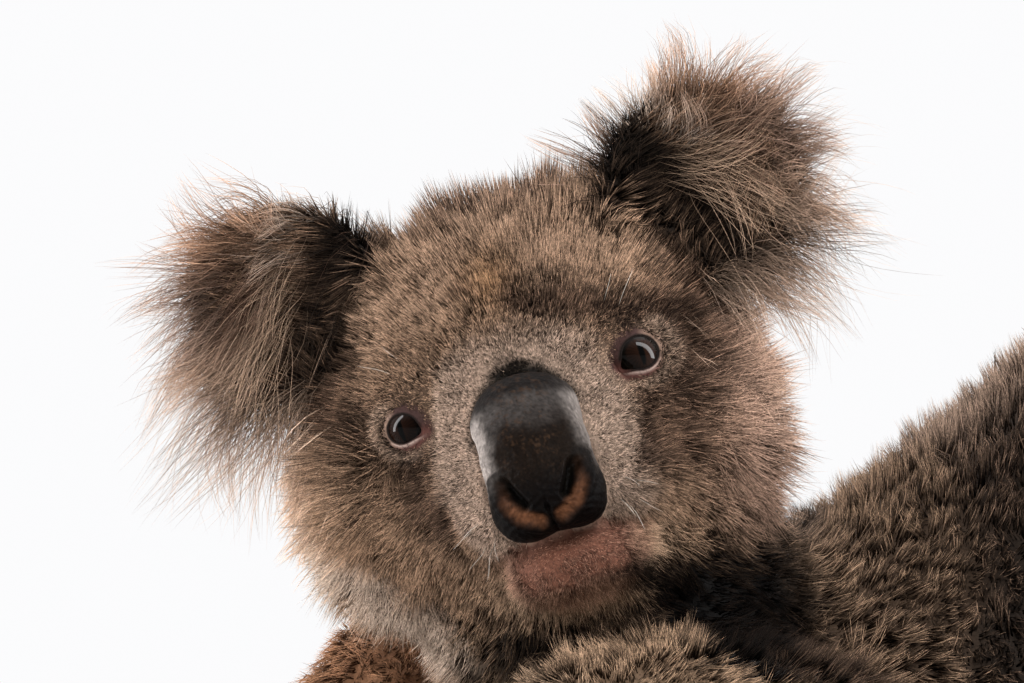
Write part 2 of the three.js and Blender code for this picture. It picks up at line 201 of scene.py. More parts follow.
brightest_way = unit_of(-1.0 * camera_back + np.array([0, 0, GLOW_LIFT]))
path = new_node(sky, "ShaderNodeLightPath")
seen = new_node(sky, "ShaderNodeBackground", {"Color": SEEN_WHITE})
glow = new_node(sky, "ShaderNodeBackground")
place = new_node(sky, "ShaderNodeTexCoord")
toward = new_node(sky, "ShaderNodeVectorMath", {1: brightest_way}, operation="DOT_PRODUCT")
half = new_node(sky, "ShaderNodeMath", {1: 0.5, 2: 0.5}, operation="MULTIPLY_ADD")
ramp = new_node(sky, "ShaderNodeValToRGB")
ramp.color_ramp.elements[0].position = GLOW_STARTS
ramp.color_ramp.elements[0].color = GLOW_NEAR
ramp.color_ramp.elements[1].position = 1.0
ramp.color_ramp.elements[1].color = GLOW_FAR
pick = new_node(sky, "ShaderNodeMixShader")
out = new_node(sky, "ShaderNodeOutputWorld")
sky.links.new(place.outputs["Generated"], toward.inputs[0])
sky.links.new(toward.outputs["Value"], half.inputs[0])
sky.links.new(half.outputs[0], ramp.inputs["Fac"])
sky.links.new(ramp.outputs["Color"], glow.inputs["Color"])
sky.links.new(path.outputs["Is Camera Ray"], pick.inputs["Fac"])
sky.links.new(glow.outputs[0], pick.inputs[1])
sky.links.new(seen.outputs[0], pick.inputs[2])
sky.links.new(pick.outputs[0], out.inputs["Surface"])
print("surround ready")

# %% Lights
SUBJECT = Vector((0.05, -0.05, 0.22))
# name: (how far right, away and overhead it stands, distance m, wide m, tall m, power W)
LAMPS = {
    "top_light": (0.1, 0.1, 1.0, 1.6, 1.0, 1.0, 4),
    "rim_light": (-0.9, 0.8, 0.7, 1.8, 1.0, 1.0, 8),
    "back_light": (0.9, 0.9, 0.8, 1.8, 1.0, 1.0, 15),
    "right_strip": (0.94, -0.27, 0.25, 1.5, 0.3, 1.2, 18),
    "left_strip": (-0.93, 0.20, 0.25, 1.5, 0.3, 1.2, 12),
    "fill_light": (0.1, -0.9, 0.42, 2.0, 0.5, 0.5, 34),
    "left_fill": (-0.86, -0.50, -0.07, 1.3, 0.7, 0.22, 6.5),
    "low_fill": (-0.26, -0.12, -0.15, 0.34, 0.20, 0.12, 0.35),
}


def soft_light(name, direction, distance, wide, tall, power):
    """A flat studio light that faces the animal and isn't seen by the camera."""
    data = bpy.data.lights.new(name, "AREA")
    data.shape = "RECTANGLE"
    data.size = wide
    data.size_y = tall
    data.energy = power
    lamp = bpy.data.objects.new(name, data)
    bpy.context.scene.collection.objects.link(lamp)
    way = Vector(direction).normalized()
    lamp.location = SUBJECT + way * distance
    lamp.rotation_euler = way.to_track_quat("Z", "Y").to_euler()
    lamp.visible_camera = False
    return lamp


away = Vector(-camera_back)
to_right = Vector(camera_right)
overhead = Vector((0, 0, 1))
lamps = {}
for name, (right, far, above, *size_and_power) in LAMPS.items():
    direction = to_right * right + away * far + overhead * above
    lamps[name] = soft_light(name, direction, *size_and_power)
bpy.context.scene.view_settings.view_transform = "Standard"
print("lamps:", ", ".join(lamps))

# %% [markdown]
# ## Working on meshes as arrays
# Millions of small vertices are quick to handle as arrays of numbers. These helpers read a mesh into
# arrays, smooth values over its surface along its edges, and give a repeatable cloudy noise that
# varies lengths, lies and colours.

# %% Reading and smoothing
def read_mesh(mesh):
    """Vertex places and triangles of a mesh."""
    places = np.empty(len(mesh.vertices) * 3)
    mesh.vertices.foreach_get("co", places)
    mesh.calc_loop_triangles()
    corners = np.empty(len(mesh.loop_triangles) * 3, dtype=np.int32)
    mesh.loop_triangles.foreach_get("vertices", corners)
    return places.reshape(-1, 3), corners.reshape(-1, 3)


def unit(vectors):
    return vectors / np.maximum(np.linalg.norm(vectors, axis=-1, keepdims=True), 1e-12)


def dot(a, b):
    return (a * b).sum(axis=-1, keepdims=True)


def normals_of(places, triangles):
    """Vertex normals, weighted by the area of the faces round each vertex."""
    a, b, c = (places[triangles[:, k]] for k in range(3))
    faces = np.cross(b - a, c - a)
    total = np.empty_like(places)
    for k in range(3):
        total[:, k] = np.bincount(triangles.ravel(), np.repeat(faces[:, k], 3), len(places))
    return unit(total)


def neighbours_of(triangles, count, width=9):
    """For each vertex, the vertices at the far ends of its edges, filled up with itself."""
    pairs = np.concatenate([triangles[:, [0, 1]], triangles[:, [1, 2]], triangles[:, [2, 0]]])
    pairs = np.unique(np.sort(pairs, axis=1), axis=0)
    ends = np.concatenate([pairs, pairs[:, ::-1]])
    ends = ends[np.argsort(ends[:, 0], kind="stable")]
    rank = np.arange(len(ends)) - np.searchsorted(ends[:, 0], np.arange(count))[ends[:, 0]]
    table = np.tile(np.arange(count, dtype=np.int32)[:, None], (1, width))
    kept = rank < width
    table[ends[kept, 0], rank[kept]] = ends[kept, 1]
    return table


def smoothed(values, table, rounds, share=0.5):
    for _ in range(rounds):
        values = values + share * (values[table].mean(axis=1) - values)
    return values


def without_facets(places, table, rounds, inward, outward):
    """Smooths in and nearly as far out again, which takes off facets but keeps the size."""
    for _ in range(rounds):
        places = smoothed(places, table, 1, inward)
        places = smoothed(places, table, 1, -outward)
    return places

# %% Ramps and noise
NOISE_STEPS = (73856093, 19349663, 83492791)  # large primes, one for each axis
NOISE_SEED_STEP = 2654435
NOISE_STIR = 1274126177
NOISE_TOP = 0xFFFF


def rise(value, low, high):
    """0 up to low, 1 from high on, and a smooth climb between."""
    t = np.clip((value - low) / (high - low), 0, 1)
    return t * t * (3 - 2 * t)


def bump(value, middle_value, half_width):
    """1 at the middle, falling smoothly to almost 0 two half widths away."""
    return np.exp(-(((value - middle_value) / half_width) ** 2))


def cloud(points, scale, seed):
    """Smooth noise from -1 to 1 whose patches are about scale across."""
    place = np.asarray(points) / scale
    cell = np.floor(place).astype(np.int64)
    part = place - cell
    part = part * part * (3 - 2 * part)
    total = np.zeros(len(place))
    for corner in range(8):
        step = np.array([corner & 1, corner >> 1 & 1, corner >> 2])
        c = cell + step
        h = (c[:, 0] * NOISE_STEPS[0]) ^ (c[:, 1] * NOISE_STEPS[1]) ^ (c[:, 2] * NOISE_STEPS[2])
        h = h ^ (seed * NOISE_SEED_STEP)
        h = (h ^ (h >> 13)) * NOISE_STIR & 0x7FFFFFFF
        h = (h ^ (h >> 16)) & NOISE_TOP
        total += np.where(step, part, 1 - part).prod(axis=1) * h
    return total / (NOISE_TOP / 2) - 1


def cloud3(points, scale, seed):
    """Three noises at once, as a direction to stir with."""
    return np.stack([cloud(points, scale, seed + k) for k in range(3)], axis=1)


print("a quarter up a ramp:", rise(0.25, 0, 1))

# %% Making objects
DARKEST = 0.001
PALEST = 0.95


def mesh_object(name, places, faces):
    """A smooth-shaded object whose mesh is made from arrays."""
    places = np.ascontiguousarray(places, dtype=np.float32)
    faces = np.ascontiguousarray(faces, dtype=np.int32)
    mesh = bpy.data.meshes.new(name)
    mesh.vertices.add(len(places))
    mesh.vertices.foreach_set("co", places.ravel())
    corner_count = faces.shape[1]
    mesh.loops.add(faces.size)
    mesh.loops.foreach_set("vertex_index", faces.ravel())
    mesh.polygons.add(len(faces))
    mesh.polygons.foreach_set("loop_start", np.arange(0, faces.size, corner_count, dtype=np.int32))
    mesh.update(calc_edges=True)
    mesh.shade_smooth()
    obj = bpy.data.objects.new(name, mesh)
    bpy.context.scene.collection.objects.link(obj)
    return obj


def ring_faces(rings, columns, looped=False):
    """Triangles between neighbouring rings of points, and from the last to the first if looped."""
    ring = np.arange(rings if looped else rings - 1)[:, None]
    here = np.arange(columns)[None]
    beside = (here + 1) % columns
    low, high = ring * columns, (ring + 1) % rings * columns
    quads = [low + here, high + here, high + beside, low + here, high + beside, low + beside]
    return np.stack(quads, axis=-1).reshape(-1, 3)


def colour_layer(obj, colours, up_the_hair=1.0):
    """The colour at each vertex, kept on the mesh for the finish to read.

    Its fourth value is how far up the hair a point is, from 0 at the root to 1 at the tip.
    """
    layer = obj.data.color_attributes.new("coat", "FLOAT_COLOR", "POINT")
    full = np.ones((len(colours), 4), np.float32)
    full[:, :3] = np.clip(colours, DARKEST, PALEST)
    full[:, 3] = up_the_hair
    layer.data.foreach_set("color", full.ravel())


def voxel_skin(places, faces, size):
    """One closed skin round everything that the faces enclose."""
    obj = mesh_object("to_remesh", places, faces)
    remesh = obj.modifiers.new("remesh", "REMESH")
    remesh.mode = "VOXEL"
    remesh.voxel_size = size
    scene_now = bpy.context.evaluated_depsgraph_get()
    mesh = bpy.data.meshes.new_from_object(obj.evaluated_get(scene_now))
    bpy.data.objects.remove(obj)
    return read_mesh(mesh)

# %% [markdown]
# ## Ear flaps
# Under its long hair a koala's ear is a thin round flap, cupped forwards, that grows out of the side
# of the crown. Each flap is a closed cup made of rings: out over the front to the rim, and back
# behind it to the middle. It is joined to the flesh before that is wrapped.

# %% Ear flaps
EAR_CENTRE = {1: np.array([71.0, 53.0, 46.0]), -1: np.array([-66.0, 53.0, 50.0])}
EAR_OPEN = unit(np.array([0.30, -0.95, 0.08]))  # the way the left ear's cup faces
EAR_ACROSS = 35.0
EAR_TALL = 34.0
EAR_CUP = 11.0  # the rim stands this far in front of the middle
EAR_THICK = 5.6
EAR_THINNER = 0.45  # share of the thickness that is gone at the rim
EAR_RINGS = 10
EAR_COLUMNS = 36


def mirrored(vector, side):
    """The same place or direction on the other side of the head, for side -1."""
    return np.array(vector) * np.array([side, 1, 1])


def ear_axes(side):
    """Outward, upward and opening directions of an ear, on the head's axes."""
    opening = mirrored(EAR_OPEN, side)
    up = unit(np.array([0, 0, 1.0]) - opening * opening[2])
    outward = np.cross(up, opening) * side
    return outward * -1 if outward[0] * side < 0 else outward, up, opening


def ear_flap(side):
    """Points and faces of one closed cup, with its faces turned outwards."""
    outward, up, opening = ear_axes(side)
    share = np.linspace(0, 1, EAR_RINGS + 1)[1:]
    angle = np.arange(EAR_COLUMNS) / EAR_COLUMNS * 2 * math.pi
    rim = np.cos(angle)[:, None] * outward * EAR_ACROSS + np.sin(angle)[:, None] * up * EAR_TALL
    centre = EAR_CENTRE[side]
    front = [centre + rim * s + opening * EAR_CUP * s * s for s in share]
    thick = [EAR_THICK * (1 - EAR_THINNER * s**4) for s in share]
    back = [ring - opening * t for ring, t in zip(front, thick)][::-1]
    rings = np.concatenate(front + back)
    ends = np.array([centre, centre - opening * EAR_THICK])
    places = np.concatenate([rings, ends])
    last = len(rings) - EAR_COLUMNS
    caps = []
    for c in range(EAR_COLUMNS):
        d = (c + 1) % EAR_COLUMNS
        caps += [(len(rings), c, d), (len(rings) + 1, last + d, last + c)]
    faces = np.concatenate([ring_faces(2 * EAR_RINGS, EAR_COLUMNS), caps])
    volume_six = dot(places[faces[:, 0]], np.cross(places[faces[:, 1]], places[faces[:, 2]])).sum()
    if volume_six < 0:
        faces = faces[:, ::-1]
    return from_head(places), faces


print("ear flap:", len(ear_flap(1)[1]), "faces each")

# %% [markdown]
# ## One skin under the coat
# The solids are cut where a person names the animal's parts, but a real skin has no cuts. The flesh
# solids are swollen by a little over half a millimetre so that they touch, and a voxel remesh wraps
# them and the ear flaps in one closed surface. Smoothing takes off the facets. Each point of that
# surface knows which solid is nearest, which later says how long the hair is there and how it lies.

# %% Wrap the flesh
FLESH = [n for n in sorted(nodes) if not n.startswith(("eye", "claw", "nose", "ear"))]
PARTS = FLESH + ["flap_left", "flap_right"]
SWELL = 0.6 * MM
WRAP_VOXEL = 3.3 * MM
SMOOTH_ROUNDS = 12
SMOOTH_IN = 0.55
SMOOTH_OUT = 0.52


def merged_solid(name, swell):
    """A node's mesh with its doubles merged, a little larger all round."""
    bm = bmesh.new()
    bm.from_mesh(nodes[name].data)
    bmesh.ops.remove_doubles(bm, verts=bm.verts, dist=1e-6)
    bmesh.ops.triangulate(bm, faces=bm.faces)
    bm.normal_update()
    places = np.array([v.co + v.normal * swell for v in bm.verts])
    faces = np.array([[v.index for v in f.verts] for f in bm.faces])
    bm.free()
    return places, faces


def joined(parts):
    """Several meshes as one, with the number of the mesh that each face came from."""
    places, faces, owner, count = [], [], [], 0
    for index, (p, f) in enumerate(parts):
        places.append(p)
        faces.append(f + count)
        owner.append(np.full(len(f), index))
        count += len(p)
    return np.concatenate(places), np.concatenate(faces), np.concatenate(owner)


flesh_meshes = [merged_solid(n, SWELL) for n in FLESH] + [ear_flap(1), ear_flap(-1)]
solid_places, solid_faces, solid_owner = joined(flesh_meshes)
outer, skin_faces = voxel_skin(solid_places, solid_faces, WRAP_VOXEL)
table = neighbours_of(skin_faces, len(outer))
outer = without_facets(outer, table, SMOOTH_ROUNDS, SMOOTH_IN, SMOOTH_OUT)
print("wrap:", len(outer), "points,", len(skin_faces), "faces")

# %% Which solid each point belongs to
SHARE_ROUNDS = 24  # so that one part's coat passes gently into the next one's
FLAP_ROUNDS = 4
solid_tree = BVHTree.FromPolygons(solid_places.tolist(), solid_faces.tolist())
nearest = np.array([solid_tree.find_nearest(Vector(p))[2] for p in outer])
shares = np.zeros((len(outer), len(PARTS)))
shares[np.arange(len(outer)), solid_owner[nearest]] = 1
flaps = smoothed(shares[:, -2:], table, FLAP_ROUNDS)
shares = smoothed(shares, table, SHARE_ROUNDS)
shares[:, -2:] = flaps
shares /= shares.sum(axis=1, keepdims=True)


def share_of(part_shares, prefix):
    picked = [i for i, n in enumerate(PARTS) if n.startswith(prefix)]
    return part_shares[:, picked].sum(axis=1)


print("points of the head:", int((share_of(shares, "head") > 0.5).sum()))

# %% [markdown]
# ## How long the coat is
# A table gives each part of the body the length of its hair, how far it stands up from the skin, and
# the two colours of a hair: dark at the root and pale at the tip. On the head these change quickly,
# from very short velvet round the nose and eyes to the long ruff of the cheeks, so smooth functions
# of the place on the head give them.

# %% Coat table
LENGTH, LIFT, ROOT_COLOUR, TIP_COLOUR = range(4)  # the columns of the table
# part: (length mm, lift degrees, root colour, tip colour)
COAT = {
    "back": (12, 58, (0.004, 0.003, 0.002), (0.130, 0.082, 0.056)),
    "rump": (20, 50, (0.009, 0.006, 0.004), (0.20, 0.129, 0.087)),
    "chest": (13, 54, (0.014, 0.008, 0.005), (0.40, 0.26, 0.17)),
    "neck": (11, 54, (0.012, 0.007, 0.004), (0.34, 0.22, 0.14)),
    "upper_arm": (11, 56, (0.060, 0.036, 0.022), (0.90, 0.59, 0.38)),
    "forearm": (15, 36, (0.050, 0.031, 0.021), (0.60, 0.43, 0.30)),
    "hand": (7, 22, (0.055, 0.038, 0.028), (0.46, 0.34, 0.25)),
    "thigh": (19, 46, (0.024, 0.015, 0.010), (0.34, 0.225, 0.150)),
    "shank": (17, 34, (0.045, 0.030, 0.021), (0.48, 0.33, 0.225)),
    "foot": (8, 22, (0.055, 0.038, 0.028), (0.46, 0.34, 0.25)),
    "lower_jaw": (6, 24, (0.20, 0.10, 0.075), (0.55, 0.42, 0.33)),
    "head": (10, 38, (0.036, 0.020, 0.012), (0.52, 0.33, 0.215)),
    "flap": (13, 34, (0.030, 0.017, 0.011), (0.30, 0.185, 0.12)),
}


def part_of(name):
    return name.replace("_left", "").replace("_right", "")


def by_part(part_shares, column):
    """One column of the table, blended over the surface by the shares of the parts."""
    total = 0
    for index, name in enumerate(PARTS):
        value = np.atleast_1d(np.array(COAT[part_of(name)][column], float))
        total = total + part_shares[:, index, None] * value
    return total


print("coats for", len(COAT), "parts")

# %% Places on the face
NOSE_MIDDLE = np.array([0.0, -14.0, -20.0])
NOSE_HALF = np.array([18.0, 17.0, 27.0])
EYE_PLACE = np.array([EYE_SPACING / 2, EYE_SET_BACK, 0.0])


def face_places(points):
    """Distances and regions that the lengths and the markings of the head share."""
    h = to_head(points)
    x, y, z = h.T
    side = np.abs(x)
    across = np.stack([side, y, z], axis=1)
    p = SimpleNamespace(h=h, x=x, y=y, z=z, side=side)
    p.from_eye = np.linalg.norm(across - EYE_PLACE, axis=1)
    p.from_nose = (np.linalg.norm((h - NOSE_MIDDLE) / NOSE_HALF, axis=1) - 1) * 20
    p.cheek = rise(side, 34, 72) * rise(-z, -14, 26)
    p.nape = rise(y, 50, 100)
    p.crown = rise(z, 24, 62)
    p.front = rise(-y, -60, -10)
    return p


def jowl_line(x):
    """The height on the head's axes of the lower edge of the right jowl."""
    return -77 + 0.98 * (-x - 53)


print("lower edge of the jowl, 60 mm out:", round(jowl_line(-60), 1), "mm")

# %% Length and lift on the head
f = face_places(outer)
on_head = share_of(shares, ("head", "lower_jaw"))
on_jaw = share_of(shares, "lower_jaw")
on_flap = share_of(shares, "flap")
# Velvet round the nose and eyes, longer outwards, and longest at the cheeks and nape.
head_length = 2.2 + 2.2 * rise(f.from_nose, 3, 15) + 3.4 * rise(f.from_nose, 15, 45)
head_length = head_length * (0.35 + 0.65 * rise(f.from_eye, 10, 26))
low_left = rise(-f.x, 30, 60) * rise(-f.z, 10, 34)
head_length = head_length + 9 * f.cheek * (1 - 0.6 * low_left) + 8 * f.nape + 2 * f.crown
jaw_length = 2.8 + 9 * rise(-f.z, 66, 78) + 9 * rise(f.side, 20, 29)
head_length = head_length * (1 - on_jaw) + jaw_length * on_jaw
head_lift = 26 + 47 * rise(f.from_nose, 6, 34) * rise(f.from_eye, 10, 30) * (1 - 0.6 * f.cheek)
print("longest on the head, mm:", round((head_length * on_head).max(), 1))

# %% Length, lift and depth
SHOWN_DEPTH = 0.95  # the coat's surface lies a little under its tips
THINNEST = 0.2
length = by_part(shares, LENGTH)[:, 0]
lift = by_part(shares, LIFT)[:, 0]
length = length * (1 - on_head) + head_length * on_head
lift = lift * (1 - on_head) + head_lift * on_head
# The arm's coat is short where the jowl hangs over it.
under_jowl = share_of(shares, "upper_arm_right") * rise(f.z, -120, -90)
length = length * (1 - 0.4 * under_jowl)
length = smoothed(length, table, 2)
lift = np.radians(smoothed(lift, table, 2))
depth = length * np.sin(lift) * SHOWN_DEPTH * (1 - rise(on_flap, 0.2, 0.7))
depth = depth + 7.0 * under_jowl * rise(f.x, -86, -72)
# The soles are bare, and the weight of the rump presses its coat flat.
paws = share_of(shares, ("hand", "foot"))
height = outer[:, 2] / MM
bare_sole = paws * (1 - rise(height, 1.0, 5.0))
depth = np.maximum(depth * (1 - bare_sole), THINNEST)
under_rump = (1 - paws) * (1 - rise(height, 3, 25))
depth = depth * (1 - 0.6 * under_rump)
print("coat depth, mm:", round(depth.min(), 2), "to", round(depth.max(), 2))

# %% Hair beyond the solids
# The hair stands highest in the dips between the crown and the ears, fluffs out at the cheeks, and
# hangs longer below the ears and along the lower edge of the right jowl.
SADDLE_LIFT = np.radians(14)
saddle = rise(f.z, 46, 60) * bump(f.side, 42, 20) * (1 - rise(f.y, 70, 100))
below_ear = bump(f.side, 68, 12) * bump(f.z, 0, 20) * (1 - rise(f.y, 60, 90))
jowl_edge = bump(f.z, jowl_line(f.x) + 6, 12) * rise(-f.x, 40, 54) * (1 - rise(f.y, 70, 110))
below_ear = below_ear * (6.0 + 7.0 * rise(-f.x, 0, 30))
jowl_edge = jowl_edge * (3.0 - 6.0 * rise(f.x, -74, -58))
beyond = on_head * (3.0 * rise(f.z, 44, 60) + 8.0 * saddle + 2.5 * f.cheek + below_ear)
beyond = beyond + on_head * jowl_edge
length = length + beyond
lift = lift + SADDLE_LIFT * saddle
print("longest hair, mm:", round(length.max(), 1))

# %% [markdown]
# ## Sinking the skin
# The skin lies under the coat's surface by as much as the hair stands up. It is moved inwards in
# small steps, and its normals are smoothed before each, so that it doesn't fold over itself in the
# hollows between the head, the neck and the arms.

# %% Sink the skin
SINK_STEPS = 6
SINK_SMOOTHING = 0.25
skin_places = outer.copy()
for _ in range(SINK_STEPS):
    normal = unit(smoothed(normals_of(skin_places, skin_faces), table, 3))
    skin_places = skin_places - normal * (depth * MM / SINK_STEPS)[:, None]
    skin_places = smoothed(skin_places, table, 1, SINK_SMOOTHING)
moved = np.linalg.norm(skin_places - outer, axis=1).mean() / MM
print("skin sunk by", round(moved, 2), "mm on average")

# %% [markdown]
# ## Mouth
# The lips meet in a line under the nose. The fur of the upper lip hangs over it, and below it the
# pink chin sticks out a little, so the line is a groove pressed into the skin.

# %% Mouth groove
MOUTH_HEIGHT = -49.0
MOUTH_HALF_WIDTH = 26.0
MOUTH_DEEP = 2.6
MOUTH_TALL = 2.2  # half the groove's height
h = to_head(skin_places)
mouth_line = MOUTH_HEIGHT - 3.0 * (h[:, 0] / MOUTH_HALF_WIDTH) ** 2
in_mouth = bump(h[:, 2], mouth_line, MOUTH_TALL) * (1 - rise(np.abs(h[:, 0]), 22, 30))
in_mouth = in_mouth * (1 - rise(h[:, 1], 6, 16)) * rise(on_head, 0.5, 0.9)
skin_normal = normals_of(skin_places, skin_faces)
skin_places = skin_places - skin_normal * (in_mouth * MOUTH_DEEP * MM)[:, None]
print("points in the mouth groove:", int((in_mouth > 0.3).sum()))

# %% [markdown]
# ## The way the hair lies
# A coat looks right when every hair follows its neighbours. Each part has one main direction, such as
# down the arm or back along the spine, and on the head the hair runs away from the nose. Those
# directions are laid on the skin, smoothed along it, and pressed flat against the surface.

# %% Main direction of each part
def centre_of(prefix):
    return np.mean([middle(n) for n in nodes if n.startswith(prefix)], axis=0)


def way_between(start, end):
    return unit(centre_of(end) - centre_of(start))


DOWN = np.array([0, 0, -1.0])
PART_WAY = {
    "back": np.array([0, 1.0, -0.45]),
    "rump": np.array([0, 0.5, -1.0]),
    "chest": np.array([0, 0.8, -0.8]),
    "thigh": np.array([0, -0.35, -1.0]),
    "shank": np.array([0, 0.3, -1.0]),
}
for side in ("_left", "_right"):
    down_arm = way_between("upper_arm" + side, "forearm" + side)
    PART_WAY["upper_arm" + side] = 0.4 * down_arm + np.array([0, 0.45, -1.0])
    PART_WAY["forearm" + side] = way_between("forearm" + side, "hand" + side)
    PART_WAY["hand" + side] = way_between("hand" + side, "claw_hand" + side)
    PART_WAY["foot" + side] = way_between("foot" + side, "claw_foot" + side)
print("directions for", len(PART_WAY), "parts")

# %% Lie of the coat
LIE_ROUNDS = 10
FLOW_ROUNDS = 60  # the body's long coat flows more evenly than the face's
HEAD_SWEEP = 1.2
head_middle = from_head([[0, 50, 0]])[0]
ways = np.zeros_like(outer)
for index, name in enumerate(PARTS):
    if name == "neck":
        way = unit(outer - head_middle) + np.array([0, 0.3, -0.6])
    else:
        way = PART_WAY.get(name, PART_WAY.get(part_of(name), np.zeros(3)))
    ways += shares[:, index, None] * unit(np.broadcast_to(way, outer.shape))

away_from_nose = unit(f.h - np.array([0, -30, -12]))
head_sweep = np.stack(
    [
        0.0 * f.x,
        0.25 + 0.6 * f.nape,
        -0.6 * f.cheek - 1.1 * on_jaw - 0.35 * f.nape - 0.5 * rise(-f.z, 20, 44),
    ],
    axis=1,
)
ways += (on_head * (1 - on_flap))[:, None] * head_way(unit(away_from_nose + head_sweep)) * HEAD_SWEEP
skin_normal = normals_of(skin_places, skin_faces)


def flattened(ways, rounds):
    """Directions smoothed along the skin and pressed flat against it."""
    for _ in range(rounds):
        ways = smoothed(ways, table, 1)
        ways = ways - skin_normal * dot(ways, skin_normal)
    return ways


ways = flattened(ways, LIE_ROUNDS)
flowing = flattened(ways, FLOW_ROUNDS)
calm = np.clip(1 - on_head - on_flap, 0, 1)[:, None]
lie = unit(unit(ways) * (1 - calm) + unit(flowing) * calm)
print("lie laid on", len(lie), "points")

# %% [markdown]
# ## Eyelids
# A koala's eyes are small and round, each in a bare rim, dark with a paler outer side and pinkish
# below, and with a deeper corner towards the nose. The lids are rings swept round the line of sight:
# from under the lid, over its thick edge, and out to the skin, which a ray finds for each point. They
# join the skin, and short fur grows over their outer part.

# %% Eye shape
EYEBALL = 9.0  # radius
GAZE_OUT = 0.36
GAZE_UP = 0.03
OPEN_WIDE = 6.2  # half the opening
OPEN_TALL = 5.6  # above the middle
OPEN_LOW = 4.9  # below it: the lower lid is flatter
CORNER_REACH = 1.6
OPENING_SIZE = {1: 1.08, -1: 0.93}  # the left eye is open a little wider
CORNER_ANGLE = math.radians(204)  # from outwards, over the top, to the nose side and down
CORNER_SPREAD = 0.36
LID_COLUMNS = 144
LID_OUT = 14.0
# (beyond the opening's edge, above the eyeball), both in mm
LID_EDGE = [(-2.4, 0.05), (-0.5, 0.08), (-0.12, 0.30), (0.0, 0.62)]
LID_EDGE += [(0.28, 0.92), (0.75, 1.08), (1.3, 1.12)]
LID_RINGS = 16
LID_SLOPE = -0.35
CREASE_DEEP = 0.5
CREASE_AT = 0.38  # from the edge, 0, to the skin, 1
CREASE_WIDE = 0.12


def eye_axes(side):
    gaze = unit(mirrored([GAZE_OUT, -1.0, GAZE_UP], side))
    up = unit(np.array([0, 0, 1.0]) - gaze * gaze[2])
    outward = unit(mirrored([1.0, 0, 0], side) - gaze * mirrored([1.0, 0, 0], side)[0] * gaze[0])
    outward = unit(outward - up * (outward @ up))
    return outward, up, gaze


def opening_radius(angle, side):
    """How far the edge of the opening is from its middle, with the corner's dip added."""
    tall = np.where(np.sin(angle) > 0, OPEN_TALL, OPEN_LOW)
    oval = 1 / np.sqrt((np.cos(angle) / OPEN_WIDE) ** 2 + (np.sin(angle) / tall) ** 2)
    turn = np.angle(np.exp(1j * (angle - CORNER_ANGLE)))
    return OPENING_SIZE[side] * (oval + CORNER_REACH * np.exp(-((turn / CORNER_SPREAD) ** 2)))


print("opening, mm:", round(2 * float(opening_radius(0.0, 1)), 1), "across")

# %% Lids
skin_tree = BVHTree.FromPolygons(skin_places.tolist(), skin_faces.tolist())
RAY_START = 40.0


def lid_ring(side):
    """A closed ring of skin round one eye, on the head's axes, in mm."""
    outward, up, gaze = eye_axes(side)
    centre = mirrored(EYE_PLACE, side)
    angle = np.arange(LID_COLUMNS) / LID_COLUMNS * 2 * math.pi
    radial = np.cos(angle)[:, None] * outward + np.sin(angle)[:, None] * up
    opening = opening_radius(angle, side)

    def ball_height(radius):
        return np.sqrt(np.maximum(EYEBALL**2 - radius**2, 4.0))

    def skin_height(radius):
        found = []
        for r, way in zip(radius, radial):
            start = from_head((centre + way * r + gaze * RAY_START)[None])[0]
            hit = skin_tree.ray_cast(Vector(start), Vector(head_way(-gaze)))
            found.append(RAY_START - hit[3] / MM if hit[0] is not None else 0.0)
        found = np.array(found)
        for _ in range(6):
            found = (found + np.roll(found, 1) + np.roll(found, -1)) / 3
        return found

    rings = []
    for beyond, above in LID_EDGE:
        r = opening + beyond
        rings.append(centre + radial * r[:, None] + gaze * (ball_height(r) + above)[:, None])
    start_r = opening + LID_EDGE[-1][0]
    start_h = ball_height(start_r) + LID_EDGE[-1][1]
    for t in np.linspace(0, 1, LID_RINGS + 1)[1:]:
        r = start_r + (LID_OUT - start_r) * t
        ground = skin_height(r)
        eased = t * t * (3 - 2 * t)
        line = start_h + LID_SLOPE * (r - start_r)
        crease = -CREASE_DEEP * np.exp(-(((t - CREASE_AT) / CREASE_WIDE) ** 2))
        level = line * (1 - eased) + (ground + 0.5 - 1.6 * t**4) * eased + crease
        rings.append(centre + radial * r[:, None] + gaze * level[:, None])
    under = rings[-1] - gaze * 3.0
    inner = centre + radial * (opening - 2.4)[:, None] + gaze * (ball_height(opening) - 3.5)[:, None]
    rings += [under, inner]
    return rings


lid_meshes = []
for side in (1, -1):
    rings = lid_ring(side)
    places = from_head(np.concatenate(rings))
    faces = ring_faces(len(rings), LID_COLUMNS, looped=True)
    a, b, c = (places[faces[:, k]] for k in range(3))
    if dot(a - places.mean(axis=0), np.cross(b - a, c - a)).sum() < 0:
        faces = faces[:, ::-1]
    lid_meshes.append((places, faces))
print("lids:", len(lid_meshes[0][1]), "faces each")

# %% Join the lids to the skin
wrap_count = len(skin_places)
wrap_tree = KDTree(wrap_count)
for i, p in enumerate(skin_places):
    wrap_tree.insert(p, i)
wrap_tree.balance()
fields = {"lie": lie, "length": length, "lift": lift, "shares": shares}
under_lid = np.zeros(wrap_count)
for side in (1, -1):
    outward, up, gaze = eye_axes(side)
    rel = to_head(skin_places) - mirrored(EYE_PLACE, side)
    off_axis = np.linalg.norm(rel - gaze * dot(rel, gaze), axis=1)
    near = (dot(rel, gaze)[:, 0] > -12) & (off_axis < 25)
    under_lid = np.maximum(under_lid, near * (1 - rise(off_axis, LID_OUT - 2.5, LID_OUT - 1)))
for places, faces in lid_meshes:
    like = np.array([wrap_tree.find(p)[1] for p in places])
    fields = {k: np.concatenate([v, v[like]]) for k, v in fields.items()}
    skin_faces = np.concatenate([skin_faces, faces + len(skin_places)])
    skin_places = np.concatenate([skin_places, places])
under_lid = np.concatenate([under_lid, np.zeros(len(skin_places) - wrap_count)])
